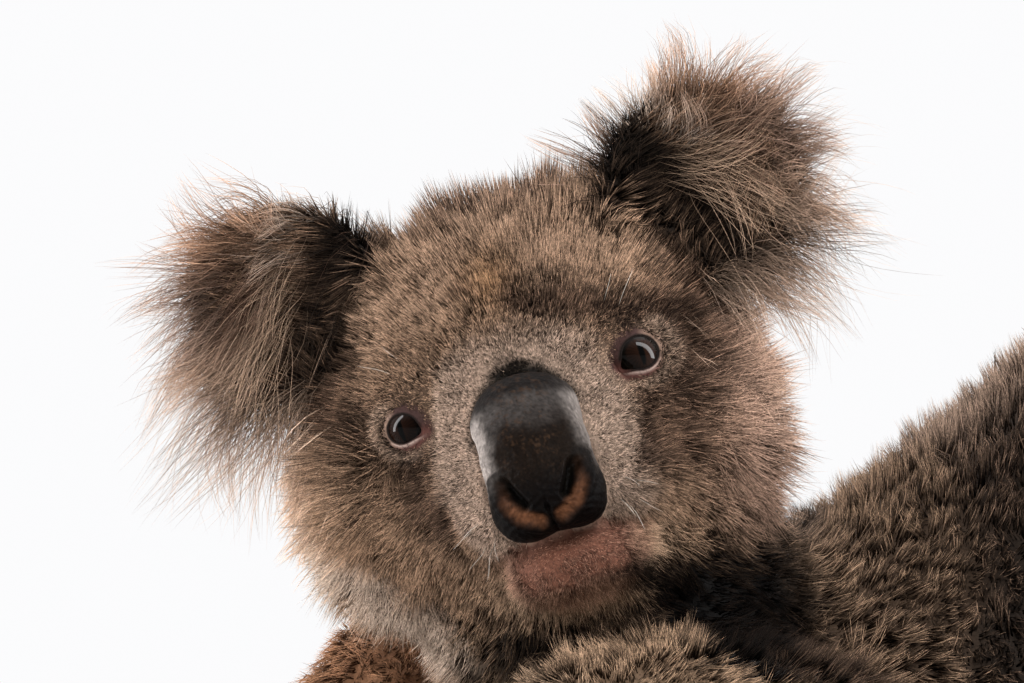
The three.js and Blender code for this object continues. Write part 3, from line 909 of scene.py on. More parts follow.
lie, length, lift, shares = (fields[k] for k in ("lie", "length", "lift", "shares"))
skin_normal = normals_of(skin_places, skin_faces)
print("skin:", len(skin_places), "points,", len(skin_faces), "faces")

# %% [markdown]
# ## Markings
# The skin and the coat are painted by the same functions, so a parting in the hair shows the right
# colour below. The face is warm brown, with a pale muzzle, a rusty patch over the nose, dark bands
# beside the eyes, pale cheeks and a pink chin with a cream fringe. Some marks are painted light and
# shade: deep shade at the throat, round the nose, under the right cheek and in the hollows by the
# ears, and paler hair where backlight would catch the spine, the jowl and the left cheek's edge. A
# colour here is a pair, for the root and for the tip of a hair. Each painter gives its marks one by
# one, as a mask and such a pair, and they are laid over what is there already, so their order
# matters. All of them work in millimetres on the head's axes, where x runs to the animal's left.

# %% Tinting
PATCHY = ((0.25, 11 * MM, 21), (0.15, 4 * MM, 22))  # (strength, size, seed) of the marks' ragged edges


def tint(colours, mask, root_colour, tip_colour):
    """Moves both colours of the coat towards new ones where the mask is high."""
    m = np.clip(mask, 0, 1)[:, None]
    root_now, tip_now = colours
    root_now = root_now * (1 - m) + np.array(root_colour) * m
    tip_now = tip_now * (1 - m) + np.array(tip_colour) * m
    return root_now, tip_now


def round_eye(points, side, deepest):
    """Mm beyond one eye's opening, the angle round it, and which points are near that eye."""
    outward, up, gaze = eye_axes(side)
    h = to_head(points)
    rel = h - mirrored(EYE_PLACE, side)
    a, b = rel @ outward, rel @ up
    angle = np.arctan2(b, a)
    near = (h[:, 0] * side > 0) & (rel @ gaze > deepest)
    return np.hypot(a, b) - opening_radius(angle, side), angle, near


def beyond_opening(points):
    """How far points lie outside the opening of the nearer eye, in mm."""
    best = np.full(len(points), 99.0)
    for side in (1, -1):
        beyond, _, near = round_eye(points, side, -10)
        best = np.where(near, np.minimum(best, beyond), best)
    return best


def coat_places(points, part_shares):
    """All that the painters ask about points of the skin."""
    p = face_places(points)
    p.points = points
    p.shares = part_shares
    p.head = share_of(part_shares, ("head", "lower_jaw"))
    p.jaw = share_of(part_shares, "lower_jaw")
    p.flap = share_of(part_shares, "flap")
    p.face = p.head * (1 - p.flap) * p.front
    (strong, large, seed), (weak, small, other_seed) = PATCHY
    p.patchy = strong * cloud(points, large, seed) + weak * cloud(points, small, other_seed)
    return p

# %% Forehead and cheeks
def paint_forehead(p):
    """Paler and greyer up the forehead, and darker temples and sides of the crown."""
    z, side, head, patchy = p.z, p.side, p.head, p.patchy
    pale = p.face * rise(z + 8 * patchy, 14, 46) * 0.8
    yield pale, (0.034, 0.021, 0.013), (0.68, 0.445, 0.305)
    crown = head * rise(z + 6 * patchy, 47, 60) * 0.8
    yield crown, (0.015, 0.009, 0.006), (0.28, 0.175, 0.124)
    temple = rise(side, 36, 60) * rise(z, -22, 6)
    yield head * temple * 0.93, (0.005, 0.003, 0.002), (0.070, 0.038, 0.025)


def paint_cheeks_with_rim_light(p):
    """Light brown on the right, and pale pinkish tan on the left, palest at its outer edge with painted rim
    light.
    """
    x = p.x
    lower = p.cheek * p.head
    yield lower * rise(-x, -10, 20) * 0.8, (0.028, 0.015, 0.009), (0.46, 0.285, 0.180)
    yield lower * rise(x, 0, 30) * 0.9, (0.080, 0.048, 0.034), (1.25, 0.80, 0.60)
    # The outer edge of the left cheek: its paler tan, with painted rim light where light from behind catches
    # it.
    yield lower * rise(x, 58, 70) * 0.9, (0.120, 0.075, 0.052), (1.20, 0.80, 0.59)


def paint_muzzle(p):
    """Pale beside the nose and between it and the eyes, with a rusty patch above the bridge."""
    x, y, z, patchy = p.x, p.y, p.z, p.patchy
    muzzle = 1 - rise(p.from_nose + 6 * patchy, 10, np.where(x > 0, 27, 22))
    muzzle = p.face * muzzle * rise(-y, -12, 0) * rise(-z, -26, -8)
    yield muzzle, (0.20, 0.140, 0.104), (1.02, 0.735, 0.560)
    yield muzzle * rise(-x, 4, 14), (0.32, 0.225, 0.17), (1.22, 0.88, 0.67)
    rusty = bump(x, 0, 9) * bump(z + 3 * patchy, 35, 8)
    yield p.face * rusty * 0.7, (0.050, 0.022, 0.010), (0.62, 0.34, 0.16)

# %% Round the eyes
def paint_round_eyes(p):
    """Dark brows, more on the left, dark bands beside the eyes, and a pale ring round each."""
    x, y, z, side, patchy = p.x, p.y, p.z, p.side, p.patchy
    brow = bump(z + 5 * patchy, 30 - 0.38 * x, 7.5) * rise(x, -4, 6) * (1 - rise(x, 46, 58))
    brow = np.maximum(brow, 0.8 * bump(x, -8, 6) * bump(z + 5 * patchy, 34, 5))
    brow = np.maximum(brow, 0.5 * bump(x, -30, 9) * bump(z, 20, 9))
    slanted = side + 0.28 * np.maximum(-z, 0)
    band_left = rise(slanted, 33, 40) * (1 - rise(slanted, 52, 68))
    band = np.where(x > 0, band_left, bump(slanted, 43, 9.0))
    band = band * rise(z + 6 * patchy, -50, -32) * rise(-z, -18, -4)
    beside = p.head * (1 - p.flap) * rise(-y, -90, -38)
    dark = np.clip((p.face * brow + beside * band) * (1 + 0.5 * patchy), 0, 1)
    yield dark * 0.93, (0.006, 0.003, 0.002), (0.100, 0.059, 0.039)
    # The ring is short fur, on the lower, outer side.
    ring = bump(beyond_opening(p.points), 4.2, 1.7)
    ring = ring * rise(side - 0.8 * z, EYE_SPACING / 2 - 7, EYE_SPACING / 2 + 1)
    yield p.head * ring * 0.6, (0.11, 0.070, 0.050), (0.80, 0.56, 0.41)

# %% Nose edge and chin
def chin_area(p):
    """The bare pink front of the chin, between the nose and the cream fringe."""
    low = rise(-p.z, 46.5, 48.5)
    return low * (1 - rise(p.side, 15, 30)) * (1 - rise(-p.z, 60, 78)) * rise(-p.y, -18, -4)


def paint_mouth(p):
    """Short black fur and painted shade round the nose, and a pink chin with cream hair below and beside it.
    """
    x, y, z, side, jaw = p.x, p.y, p.z, p.side, p.jaw
    # Dark fur round the nose, darkened further as painted shade where the nose meets the face.
    collar_and_shade = (1 - rise(p.from_nose, 3.0, 5.4)) * rise(z, np.where(x > 0, -14, -24), -4)
    collar_and_shade = collar_and_shade * rise(-y, -14, -2)
    yield p.face * collar_and_shade, (0.006, 0.005, 0.004), (0.030, 0.022, 0.016)
    fringe = jaw * np.maximum(rise(-z, 58, 68), rise(side, 14, 23))
    fringe = fringe * rise(-y, -50, -34) * (1 - rise(-z, 74, 84))
    yield fringe, (0.075, 0.040, 0.020), (0.66, 0.41, 0.23)
    all_head = np.maximum(p.head, jaw)
    cream = all_head * bump(x, 22, 7) * bump(z, -59, 9) * rise(-y, -40, -14)
    cream = np.maximum(cream, 0.7 * jaw * bump(x, -20, 8) * bump(z, -62, 6))
    yield cream, (0.34, 0.22, 0.14), (1.30, 0.88, 0.58)
    yield chin_area(p) * all_head, (0.26, 0.115, 0.078), (0.46, 0.245, 0.17)

# %% Painted shade in the hollows, painted backlight on the spine, and the arms
def arm_top(x):
    """The height of the upper edge of the left arm, which the chin hangs over."""
    return -78 - 0.0085 * (x + 14) ** 2


def paint_throat(p):
    """Deep shade at the throat and where the jowl meets the back, and the dark far arm."""
    x, z = p.x, p.z
    limbs = share_of(p.shares, ("neck", "chest", "upper_arm_left", "lower_jaw"))
    over_arm = rise(z - arm_top(x), -9, -4)
    valley = over_arm * rise(-z, 55, 66) * rise(x, 4, 20) * (1 - rise(x, 54, 72))
    valley = np.maximum(valley, bump(x, 66, 8) * bump(z, -73, 6))
    throat = over_arm * rise(-z, 70, 76) * (1 - rise(np.abs(x), 24, 60))
    shade = limbs * np.maximum(valley, 0.8 * throat)
    yield shade, (0.001, 0.001, 0.001), (0.010, 0.006, 0.004)
    far_arm = share_of(p.shares, "upper_arm_left") * rise(x, 44, 62)
    yield far_arm, (0.004, 0.003, 0.002), (0.088, 0.054, 0.036)


def paint_backlit_spine(p):
    """A paler stripe down the middle of the nape and back: painted backlight along the ridge of the coat."""
    # Painted backlight: the hair is paler along the spine, where light from behind would catch its tips.
    spine = share_of(p.shares, ("back", "neck")) * bump(p.points[:, 0] / MM, 0, 26)
    yield spine * 0.8, (0.030, 0.018, 0.012), (0.78, 0.54, 0.40)


def paint_jowl_shade_and_backlight(p):
    """Painted shade under the right cheek, and the jowl's whitish edge hair, painted paler as if backlit."""
    x, y, z = p.x, p.y, p.z
    # Painted shade under the right cheek.
    shade_under_cheek = bump(x, -27, 13) * rise(-z, 57, 67) * (1 - rise(y, 90, 120))
    yield p.head * shade_under_cheek * 0.95, (0.002, 0.001, 0.001), (0.040, 0.024, 0.015)
    # The jowl's whitish hair, with pale roots and tips painted brighter for the backlight glowing through
    # it.
    jowl = np.clip(1.6 * bump(z, jowl_line(x) + 12 + 12 * rise(-x, 56, 74), 8), 0, 1)
    jowl = jowl * rise(-x, 42, 52) * (1 - rise(y, 90, 120))
    yield jowl * 0.97, (0.60, 0.45, 0.34), (2.20, 1.68, 1.32)


def paint_ear_hollow_shade(p):
    """Painted shade, near black, in the hollows between the head and the ears, over their dark fur."""
    x, z = p.x, p.z
    from_hollow = p.side + np.where(x > 0, 0.45, 0.62) * (z - 42)
    hollow = bump(from_hollow, np.where(x > 0, 61, 53), np.where(x > 0, 11, 9))
    hollow = np.clip(1.7 * hollow, 0, 1) * rise(z, 2, 14) * rise(-p.y, -90, -64)
    # Painted shade in the hollow between the head and the ear.
    mask = np.maximum(p.head, p.flap) * hollow
    yield mask, (0.003, 0.002, 0.001), (0.014, 0.009, 0.006)


def paint_right_arm(p):
    """The top of the right arm is reddish."""
    red_arm = share_of(p.shares, ("upper_arm_right", "forearm_right")) * rise(p.z, -135, -90)
    yield red_arm * 0.9, (0.20, 0.095, 0.048), (1.00, 0.50, 0.27)


print("upper edge of the left arm under the chin:", round(arm_top(0), 1), "mm")

# %% All the markings
PAINTERS = [paint_forehead, paint_cheeks_with_rim_light, paint_muzzle, paint_round_eyes, paint_mouth]
PAINTERS += [paint_throat, paint_backlit_spine, paint_jowl_shade_and_backlight, paint_ear_hollow_shade, paint_right_arm]


def markings(points, part_shares):
    """Root and tip colours of the coat at any points of the skin."""
    colours = (by_part(part_shares, ROOT_COLOUR), by_part(part_shares, TIP_COLOUR))
    p = coat_places(points, part_shares)
    for painter in PAINTERS:
        for mask, root_colour, tip_colour in painter(p):
            colours = tint(colours, mask, root_colour, tip_colour)
    return colours


root, tip = markings(skin_places, shares)
print("painted", len(root), "points with", len(PAINTERS), "painters")

# %% [markdown]
# ## Skin finish
# Seen between the hairs the skin is a dark undercoat. On the chin and the lids it is bare: pink, with
# fine wrinkles, and with the nose's shadow painted on the top of the chin. One shader reads the
# colour of each point, and a fine noise bump breaks its shine.

# %% Bare rims of the eyes
LID_DARK = (0.045, 0.023, 0.020)
LID_PALE = (0.27, 0.175, 0.130)
LID_LINE = (0.008, 0.005, 0.004)
LID_PINK = (0.115, 0.045, 0.036)
LID_WET_HIGHLIGHT = (0.55, 0.42, 0.36)


def blend(base, mask, colour):
    """The base colours, turned to one colour as far as the mask says, from 0 to 1."""
    m = np.clip(mask, 0, 1)[:, None]
    return base * (1 - m) + np.asarray(colour) * m


def lid_colours(points, base):
    """The rim of the eye: a dark line, bare skin, a painted highlight on the wet lower edge, a pink inner
    corner.
    """
    done = base
    for side in (1, -1):
        beyond, angle, near = round_eye(points, side, -8)
        below = rise(-np.sin(angle), 0.2, 0.9)
        shade = np.tile(LID_DARK, (len(points), 1))
        shade = blend(shade, rise(np.cos(angle), 0.1, 0.85), LID_PALE)
        shade = blend(shade, 0.6 * below, LID_PINK)
        done = blend(done, near * (1 - rise(beyond, 2.2, 4.4)), shade)
        # A painted highlight along the wet lower edge of the lid.
        done = blend(done, near * below * bump(beyond, 0.9, 0.35) * 0.7, LID_WET_HIGHLIGHT)
        done = blend(done, near * (1 - rise(beyond, 0.1, 0.6)), LID_LINE)
        turn = np.angle(np.exp(1j * (angle - CORNER_ANGLE)))
        corner = near * bump(turn, 0, 0.28) * bump(beyond, 0.4, 1.6) * 0.8
        done = blend(done, corner, LID_PINK)
    return done

# %% Colours of the skin
UNDER_ROOTS = 0.7  # how much of the hair's two colours the skin below it shows
UNDER_TIPS = 0.12
CHIN_PINK = np.array([0.140, 0.057, 0.036])
# Painted shadow of the nose on the chin, darkest right under it.
CHIN_SHADOW = 0.45  # right under the nose
mottle = 1 + 0.25 * cloud(skin_places, 3 * MM, 5)
skin_colours = (root * UNDER_ROOTS + tip * UNDER_TIPS) * mottle[:, None]
sp = face_places(skin_places)
on_chin = chin_area(sp) * share_of(shares, ("head", "lower_jaw"))
bare_pink = CHIN_PINK * (1 + 0.2 * cloud(skin_places, 2.0 * MM, 7))[:, None]
# Painted shadow of the nose on the top of the chin.
bare_pink = bare_pink * (1 - CHIN_SHADOW * rise(sp.z, -56, -48)[:, None])
skin_colours = lid_colours(skin_places, blend(skin_colours, on_chin, bare_pink))
print("bare chin:", int((on_chin > 0.5).sum()), "points")

# %% [markdown]
# ## One finish for hair, skin and eyes
# Every piece carries its colours on its points, so one function builds all the finishes. A real hair
# is darker at its root and shows its full colour near its tip, and has fine bands along it; the finish
# darkens the root further, as painted shade deep in the coat. The fourth value of a point's colour
# says how far up the hair it is, and a noise in metres makes the bands.

# %% Coat finish
# How dark a hair's root is drawn: partly its own darker base, partly painted shade deep in the coat.
ROOT_SHADE = 0.2
TIP_CURVE = 1.6
GRAIN_SCALE = 1050  # per metre
BUMP_STRENGTH = 0.5


def math_node(tree, operation, first, *values):
    """A sum on one linked value and one or two fixed numbers."""
    node = new_node(tree, "ShaderNodeMath", dict(enumerate(values, 1)), operation=operation)
    tree.links.new(first, node.inputs[0])
    return node.outputs[0]


def coat_finish(name, roughness, specular, grain=0.0, bump_scale=0, bump_height=0):
    """A finish that reads the painted colour, with bands of grain and a bump where asked for."""
    material = bpy.data.materials.new(name)
    material.use_nodes = True
    tree = material.node_tree
    fur = tree.nodes["Principled BSDF"]
    fur.inputs["Roughness"].default_value = roughness
    fur.inputs["Specular IOR Level"].default_value = specular
    place = new_node(tree, "ShaderNodeTexCoord")
    colour = new_node(tree, "ShaderNodeAttribute", attribute_name="coat")
    # The root is darkened: partly the hair's own darker base, partly painted shade deep in the coat.
    curve = math_node(tree, "POWER", colour.outputs["Alpha"], TIP_CURVE)
    light = math_node(tree, "MULTIPLY_ADD", curve, 1 - ROOT_SHADE, ROOT_SHADE)
    if grain:
        bands = new_node(tree, "ShaderNodeTexNoise", {"Scale": GRAIN_SCALE, "Detail": 1})
        tree.links.new(place.outputs["Object"], bands.inputs["Vector"])
        banded = math_node(tree, "MULTIPLY_ADD", bands.outputs["Fac"], 2 * grain, 1 - grain)
        product = new_node(tree, "ShaderNodeMath", operation="MULTIPLY", use_clamp=True)
        tree.links.new(light, product.inputs[0])
        tree.links.new(banded, product.inputs[1])
        light = product.outputs[0]
    shaded = new_node(tree, "ShaderNodeVectorMath", operation="SCALE")
    tree.links.new(colour.outputs["Color"], shaded.inputs[0])
    tree.links.new(light, shaded.inputs["Scale"])
    tree.links.new(shaded.outputs["Vector"], fur.inputs["Base Color"])
    if bump_height:
        noise = new_node(tree, "ShaderNodeTexNoise", {"Scale": bump_scale, "Detail": 3})
        tree.links.new(place.outputs["Object"], noise.inputs["Vector"])
        raise_bumps(tree, noise.outputs["Fac"], BUMP_STRENGTH, bump_height)
    return material


def raise_bumps(tree, pattern, strength, height):
    """Lets a pattern tilt the light on the surface."""
    raised = new_node(tree, "ShaderNodeBump", {"Strength": strength, "Distance": height})
    tree.links.new(pattern, raised.inputs["Height"])
    tree.links.new(raised.outputs["Normal"], tree.nodes["Principled BSDF"].inputs["Normal"])


hair_finish = coat_finish("coat_hair", roughness=0.7, specular=0.04, grain=1.4)
long_hair_finish = coat_finish("coat_long_hair", roughness=0.7, specular=0.05, grain=0.7)
skin_finish = coat_finish(
    "skin_undercoat", roughness=0.62, specular=0.08, grain=0.9, bump_scale=900, bump_height=0.0006
)
print("finishes:", hair_finish.name, long_hair_finish.name, skin_finish.name)

# %% Skin object
skin = mesh_object("skin", skin_places, skin_faces)
colour_layer(skin, skin_colours)
skin.data.materials.append(skin_finish)
print("skin object:", len(skin.data.polygons), "faces")

# %% [markdown]
# ## Eyes
# The eyeball is a smooth sphere with the cornea bulging a little in front. Its iris is a very dark
# brown, and a koala's pupil is an upright slit. The surface is wet, so it is almost a mirror.

# %% Balls of rings
EYE_COLUMNS = 96
EYE_ROWS = 72


def globe(columns, rows):
    """Unit directions and faces of a ball whose poles lie along z."""
    theta = np.linspace(0, math.pi, rows + 1)[1:-1]
    phi = np.arange(columns) / columns * 2 * math.pi
    ring = np.stack([np.cos(phi), np.sin(phi), np.zeros(columns)], axis=1)
    body = [ring * math.sin(t) + np.array([0, 0, math.cos(t)]) for t in theta]
    ways_out = np.concatenate(body + [np.array([[0, 0, 1.0], [0, 0, -1.0]])])
    top, bottom = len(ways_out) - 2, len(ways_out) - 1
    last = (rows - 2) * columns
    caps = []
    for c in range(columns):
        d = (c + 1) % columns
        caps += [(top, c, d), (bottom, last + d, last + c)]
    return ways_out, np.concatenate([caps, ring_faces(rows - 1, columns)])

# %% Eyeballs
CORNEA_RADIUS = 5.6
CORNEA_BULGE = 0.55
IRIS = np.array([0.009, 0.004, 0.0025])
IRIS_EDGE = (0.002, 0.0015, 0.001)
IRIS_STREAK = 0.25
IRIS_STREAKS = 23
PUPIL = (0.001, 0.001, 0.001)
PUPIL_TALL = 4.2  # for each 1 that it is wide
EYE_INDEX = 1.38


def eyeball(side):
    """One eyeball with its cornea and the colours of its iris and pupil."""
    _, up, gaze = eye_axes(side)
    ways_out, faces = globe(EYE_COLUMNS, EYE_ROWS)
    off = np.hypot(ways_out[:, 0], ways_out[:, 1]) * EYEBALL
    in_front = ways_out[:, 2] > 0
    bulge = np.where(in_front, CORNEA_BULGE * (1 - rise(off, 1.0, CORNEA_RADIUS + 1.2)), 0)
    local = ways_out * (EYEBALL + bulge)[:, None]
    right_hand = np.cross(up, gaze)
    places = mirrored(EYE_PLACE, side) + local @ np.array([right_hand, up, gaze])
    streak = IRIS_STREAK * np.sin(np.arctan2(local[:, 1], local[:, 0]) * IRIS_STREAKS)
    tone = np.where(off < CORNEA_RADIUS, 1 + streak, 1.0)
    colours = IRIS * tone[:, None]
    colours = blend(colours, rise(off, CORNEA_RADIUS - 1.3, CORNEA_RADIUS), IRIS_EDGE)
    slit = 1 - rise(np.hypot(local[:, 0], local[:, 1] / PUPIL_TALL), 0.85, 1.1)
    colours = blend(colours, slit, PUPIL)
    name = "eyeball_left" if side > 0 else "eyeball_right"
    obj = mesh_object(name, from_head(places), faces)
    colour_layer(obj, colours)
    return obj


eye_finish = coat_finish("wet_eye", roughness=0.05, specular=0.17)
eye_finish.node_tree.nodes["Principled BSDF"].inputs["IOR"].default_value = EYE_INDEX
eyeballs = [eyeball(1), eyeball(-1)]
for ball in eyeballs:
    ball.data.materials.append(eye_finish)
print("eyes:", len(eyeballs[0].data.polygons), "faces each")

# %% [markdown]
# ## What each lamp lights
# A dark wet eye is read by its gleam. The studio's lamps would each put a square in it, so the lamps
# that shape the coat leave out the eyes, and the floor, where they would draw stripes. Each eye then
# gets one long narrow lamp that lights nothing else and shows as a curved gleam near its edge. Light
# linking does both: a lamp is given a group of objects, which it either lights alone or leaves out.

# %% Light linking
COAT_LAMPS = ("fill_light", "left_fill", "low_fill", "right_strip", "left_strip")


def linked_group(name, members, state):
    """A group of objects that a lamp lights alone, or that it leaves out."""
    group = bpy.data.collections.new(name)
    for member in members:
        group.objects.link(member)
    for entry in group.collection_objects:
        entry.light_linking.link_state = state
    return group


unlit = linked_group("not_lit_by_the_big_lamps", eyeballs + [floor], "EXCLUDE")
for name in COAT_LAMPS:
    lamps[name].light_linking.receiver_collection = unlit
print("lamps that leave out eyes and floor:", len(COAT_LAMPS))

# %% Gleams
GLEAM_DISTANCE = 1.2
# (name, way right, up and toward the camera, long side likewise, wide m, tall m, power W)
GLEAMS = [
    ("left_eye_gleam", (0.76, 0.56, 0.30), (-0.70, 0.66, 0.30), 0.50, 3.2, 105),
    ("right_eye_gleam", (-0.97, 0.04, 0.10), (0.20, 0.93, 0.25), 0.34, 3.4, 75),
]
toward = Vector(camera_back)
upward = Vector(camera_up)


def camera_way(right, up, near):
    return to_right * right + upward * up + toward * near


for ball, (name, way, along, wide, tall, power) in zip(eyeballs, GLEAMS):
    lamp = soft_light(name, camera_way(*way), GLEAM_DISTANCE, wide, tall, power)
    facing = camera_way(*way).normalized()
    long_side = camera_way(*along)
    upright = (long_side - facing * long_side.dot(facing)).normalized()
    axes = Matrix((upright.cross(facing), upright, facing)).transposed()
    lamp.rotation_euler = axes.to_euler()
    lamp.light_linking.receiver_collection = linked_group("lit_by_" + name, [ball], "INCLUDE")
print("gleams:", len(GLEAMS))

# %% [markdown]
# ## Nose
# The nose is a long bare pad of leather: grey velvet on its shoulders, speckled brown down the middle,
# nearly black below, with comma-shaped nostrils whose outer walls are pinkish. It is made from the
# same rounded masses as its solid, on a much finer net, and then sculpted by pushing each point in or
# out by its distance from the lines of the nostrils.

# %% Melted masses
NOSE_MASSES = [
    ((0, -14, -8), (18.0, 12, 14)),
    ((0, -20, -21), (18.0, 14, 17)),
    ((0, -24, -33), (17.2, 15, 13)),
    ((9.5, -24, -38.5), (8.6, 11.5, 9)),
    ((-9.5, -24, -38.5), (8.6, 11.5, 9)),
]
NOSE_SOFTNESS = 2.5
NOSE_COLUMNS = 240
NOSE_ROWS = 150


def melted_distance(masses, softness, points):
    """About how far points lie outside rounded masses that melt into each other."""
    total = 0
    for centre, size in masses:
        p = (points - np.array(centre)) / np.array(size)
        k = np.linalg.norm(p, axis=1)
        slope = np.maximum(np.linalg.norm(p / np.array(size), axis=1), 1e-9)
        total = total + np.exp(-k * (k - 1) / slope / softness)
    return -softness * np.log(np.maximum(total, 1e-30))


def melted_surface(masses, softness, centre, directions):
    """Where rays from a centre leave the melted shape."""
    low = np.zeros(len(directions))
    high = np.full(len(directions), 60.0)
    for _ in range(26):
        half_way = (low + high) / 2
        outside = melted_distance(masses, softness, centre + directions * half_way[:, None]) > 0
        high = np.where(outside, half_way, high)
        low = np.where(outside, low, half_way)
    return centre + directions * low[:, None]


def line_distance(points, line):
    """Distance in a plane from points to a line through several places."""
    best = np.full(len(points), 1e9)
    for a, b in zip(line[:-1], line[1:]):
        a, b = np.array(a, float), np.array(b, float)
        t = np.clip(((points - a) @ (b - a)) / ((b - a) @ (b - a)), 0, 1)
        best = np.minimum(best, np.linalg.norm(points - a - t[:, None] * (b - a), axis=1))
    return best

# %% Sculpt the nose
NOSTRIL_HOLE = [(12.0, -27.6), (10.2, -31.5), (7.6, -36.0)]
NOSTRIL_WALL = [(13.6, -27.0), (13.6, -33.0), (9.6, -39.2), (3.6, -42.2)]
ways_out, nose_faces = globe(NOSE_COLUMNS, NOSE_ROWS)
nose_front = unit(np.array([0, -1.0, -0.55]))
nose_up = unit(np.array([0, -0.55, 1.0]))
ways_out = ways_out @ np.array([np.cross(nose_up, nose_front), nose_up, nose_front])
nose_points = melted_surface(NOSE_MASSES, NOSE_SOFTNESS, NOSE_MIDDLE, ways_out)
nose_normal = normals_of(nose_points, nose_faces)
x, y, z = nose_points.T
flat = np.stack([np.abs(x), z], axis=1)
# Nostrils, their walls and the cleft are pressed in, and their rims pushed out.
facing = rise(-nose_normal[:, 1], -0.1, 0.3)
from_hole = line_distance(flat, NOSTRIL_HOLE)
from_wall = line_distance(flat, NOSTRIL_WALL)
hole = (1 - rise(from_hole, 0.4, 3.1)) * facing
wall_wide = 1 + 0.8 * rise(-z, 29, 39)
wall = (1 - rise(from_wall / wall_wide, 0.3, 2.0)) * (1 - rise(hole, 0.2, 0.9)) * facing
outside_wall = rise(from_hole - from_wall, -0.5, 1.5)
rim = bump(from_wall, 3.2, 1.1) * outside_wall * facing
inner_rim = bump(from_hole, 3.4, 1.0) * (1 - outside_wall) * facing
cleft = bump(x, 0, 0.9) * rise(-z, 33, 39) * facing
wrinkle = np.sin(z * 2.3 + np.abs(x) * 0.9 + 2 * cloud(nose_points, 6, 31)) * rise(-z, 14, 30)
push = -4.4 * hole - 1.3 * wall + 0.7 * rim + 0.4 * inner_rim - 1.3 * cleft
push = push + 0.10 * wrinkle * facing
push = push + 0.18 * cloud(nose_points, 1.6, 33) + 0.25 * cloud(nose_points, 5, 34)
nose_points = nose_points + nose_normal * push[:, None]
print("nose:", len(nose_faces), "faces")

# %% Nose colours
NOSE_VELVET = (0.34, 0.295, 0.27)
NOSE_GREY = (0.046, 0.040, 0.037)
NOSE_DARK = (0.006, 0.0035, 0.0022)
NOSE_BLACK = (0.002, 0.0012, 0.001)
NOSE_SPECK = (0.050, 0.026, 0.014)
NOSE_PINK = (0.090, 0.037, 0.018)
# Painted shade deep in the nostrils, which are pressed in only a few millimetres.
NOSE_HOLE_SHADE = (0.002, 0.0015, 0.001)
# Grey velvet at the upper edges, brighter on the right as painted rim light, dark below, and a dark
# band over the top, partly painted shade where the nose meets the face.
streaks = 1.2 * cloud(nose_points, 5, 38) + 0.7 * cloud(nose_points, 1.3, 40)
edge = rise(np.abs(x) + 0.10 * np.minimum(z, 0) * (x > 0) + streaks, 10.0, 18.5) ** 1.6
# Painted rim light: the velvet band is stronger on the right, where light from the side catches it.
edge = edge * np.where(x > 0, 0.55, 0.9)
upper = rise(z + 3 * cloud(nose_points, 6, 39) + 1.5 * cloud(nose_points, 2, 45), -16, 0)
beside_nostril = bump(from_wall, 0, 4.5) * rise(-z, 22, 26)
# The top of the nose darkened like the black fur round it, partly as painted shade.
top_shade = rise(z + 0.9 * cloud(nose_points, 1.2, 46) + 0.018 * x * x, -2.8, 2.2)
# Brown specks down the middle, pink walls, holes painted near black as shade, and black rims.
specks = rise(cloud(nose_points, 0.7, 35) + 0.6 * cloud(nose_points, 2.4, 36), 0.2, 0.9)
specks = specks * (1 - rise(np.abs(x), 7, 13)) * rise(z, -34, -14)
raw = wall * (0.12 + 0.85 * rise(-z, 28, 40)) * (1 + 0.3 * cloud(nose_points, 1.5, 43))
nose_layers = [
    (rise(-z, 22, 34), NOSE_BLACK),
    (upper * 0.9, NOSE_GREY),
    (edge * rise(z, -34, -25) * (1 - beside_nostril), NOSE_VELVET),
    (top_shade * 0.85, NOSE_BLACK),
    (specks * 0.4, NOSE_SPECK),
    (raw, NOSE_PINK),
    (hole, NOSE_HOLE_SHADE),
    (rim * 0.8, NOSE_BLACK),
]
nose_colours = np.tile(NOSE_DARK, (len(x), 1))
for mask, colour in nose_layers:
    nose_colours = blend(nose_colours, mask, colour)
grainy = 0.42 * cloud(nose_points, 0.9, 37) + 0.34 * cloud(nose_points, 0.45, 42)
nose_colours = nose_colours * (1 + grainy)[:, None]
print("paler points of the nose:", int((nose_colours.max(axis=1) > 0.1).sum()))

# %% Leather
PEBBLE_SCALE = 900  # per metre
PEBBLE_STRENGTH = 0.45
PEBBLE_HEIGHT = 0.00035
nose = mesh_object("nose_pad", from_head(nose_points), nose_faces)
colour_layer(nose, nose_colours)
leather = coat_finish("nose_leather", roughness=0.55, specular=0.035)
tree = leather.node_tree
pebbles = new_node(tree, "ShaderNodeTexVoronoi", {"Scale": PEBBLE_SCALE})
tree.links.new(tree.nodes["Texture Coordinate"].outputs["Object"], pebbles.inputs["Vector"])
raise_bumps(tree, pebbles.outputs["Distance"], PEBBLE_STRENGTH, PEBBLE_HEIGHT)
nose.data.materials.append(leather)
print("nose:", len(nose.data.polygons), "faces in leather")

# %% [markdown]
# ## Claws
# The claws are curved horn, dark and darkest at the point. Each is a rounded copy of its solid:
# wrapped by fine voxels and smoothed, so that no flat faces show.

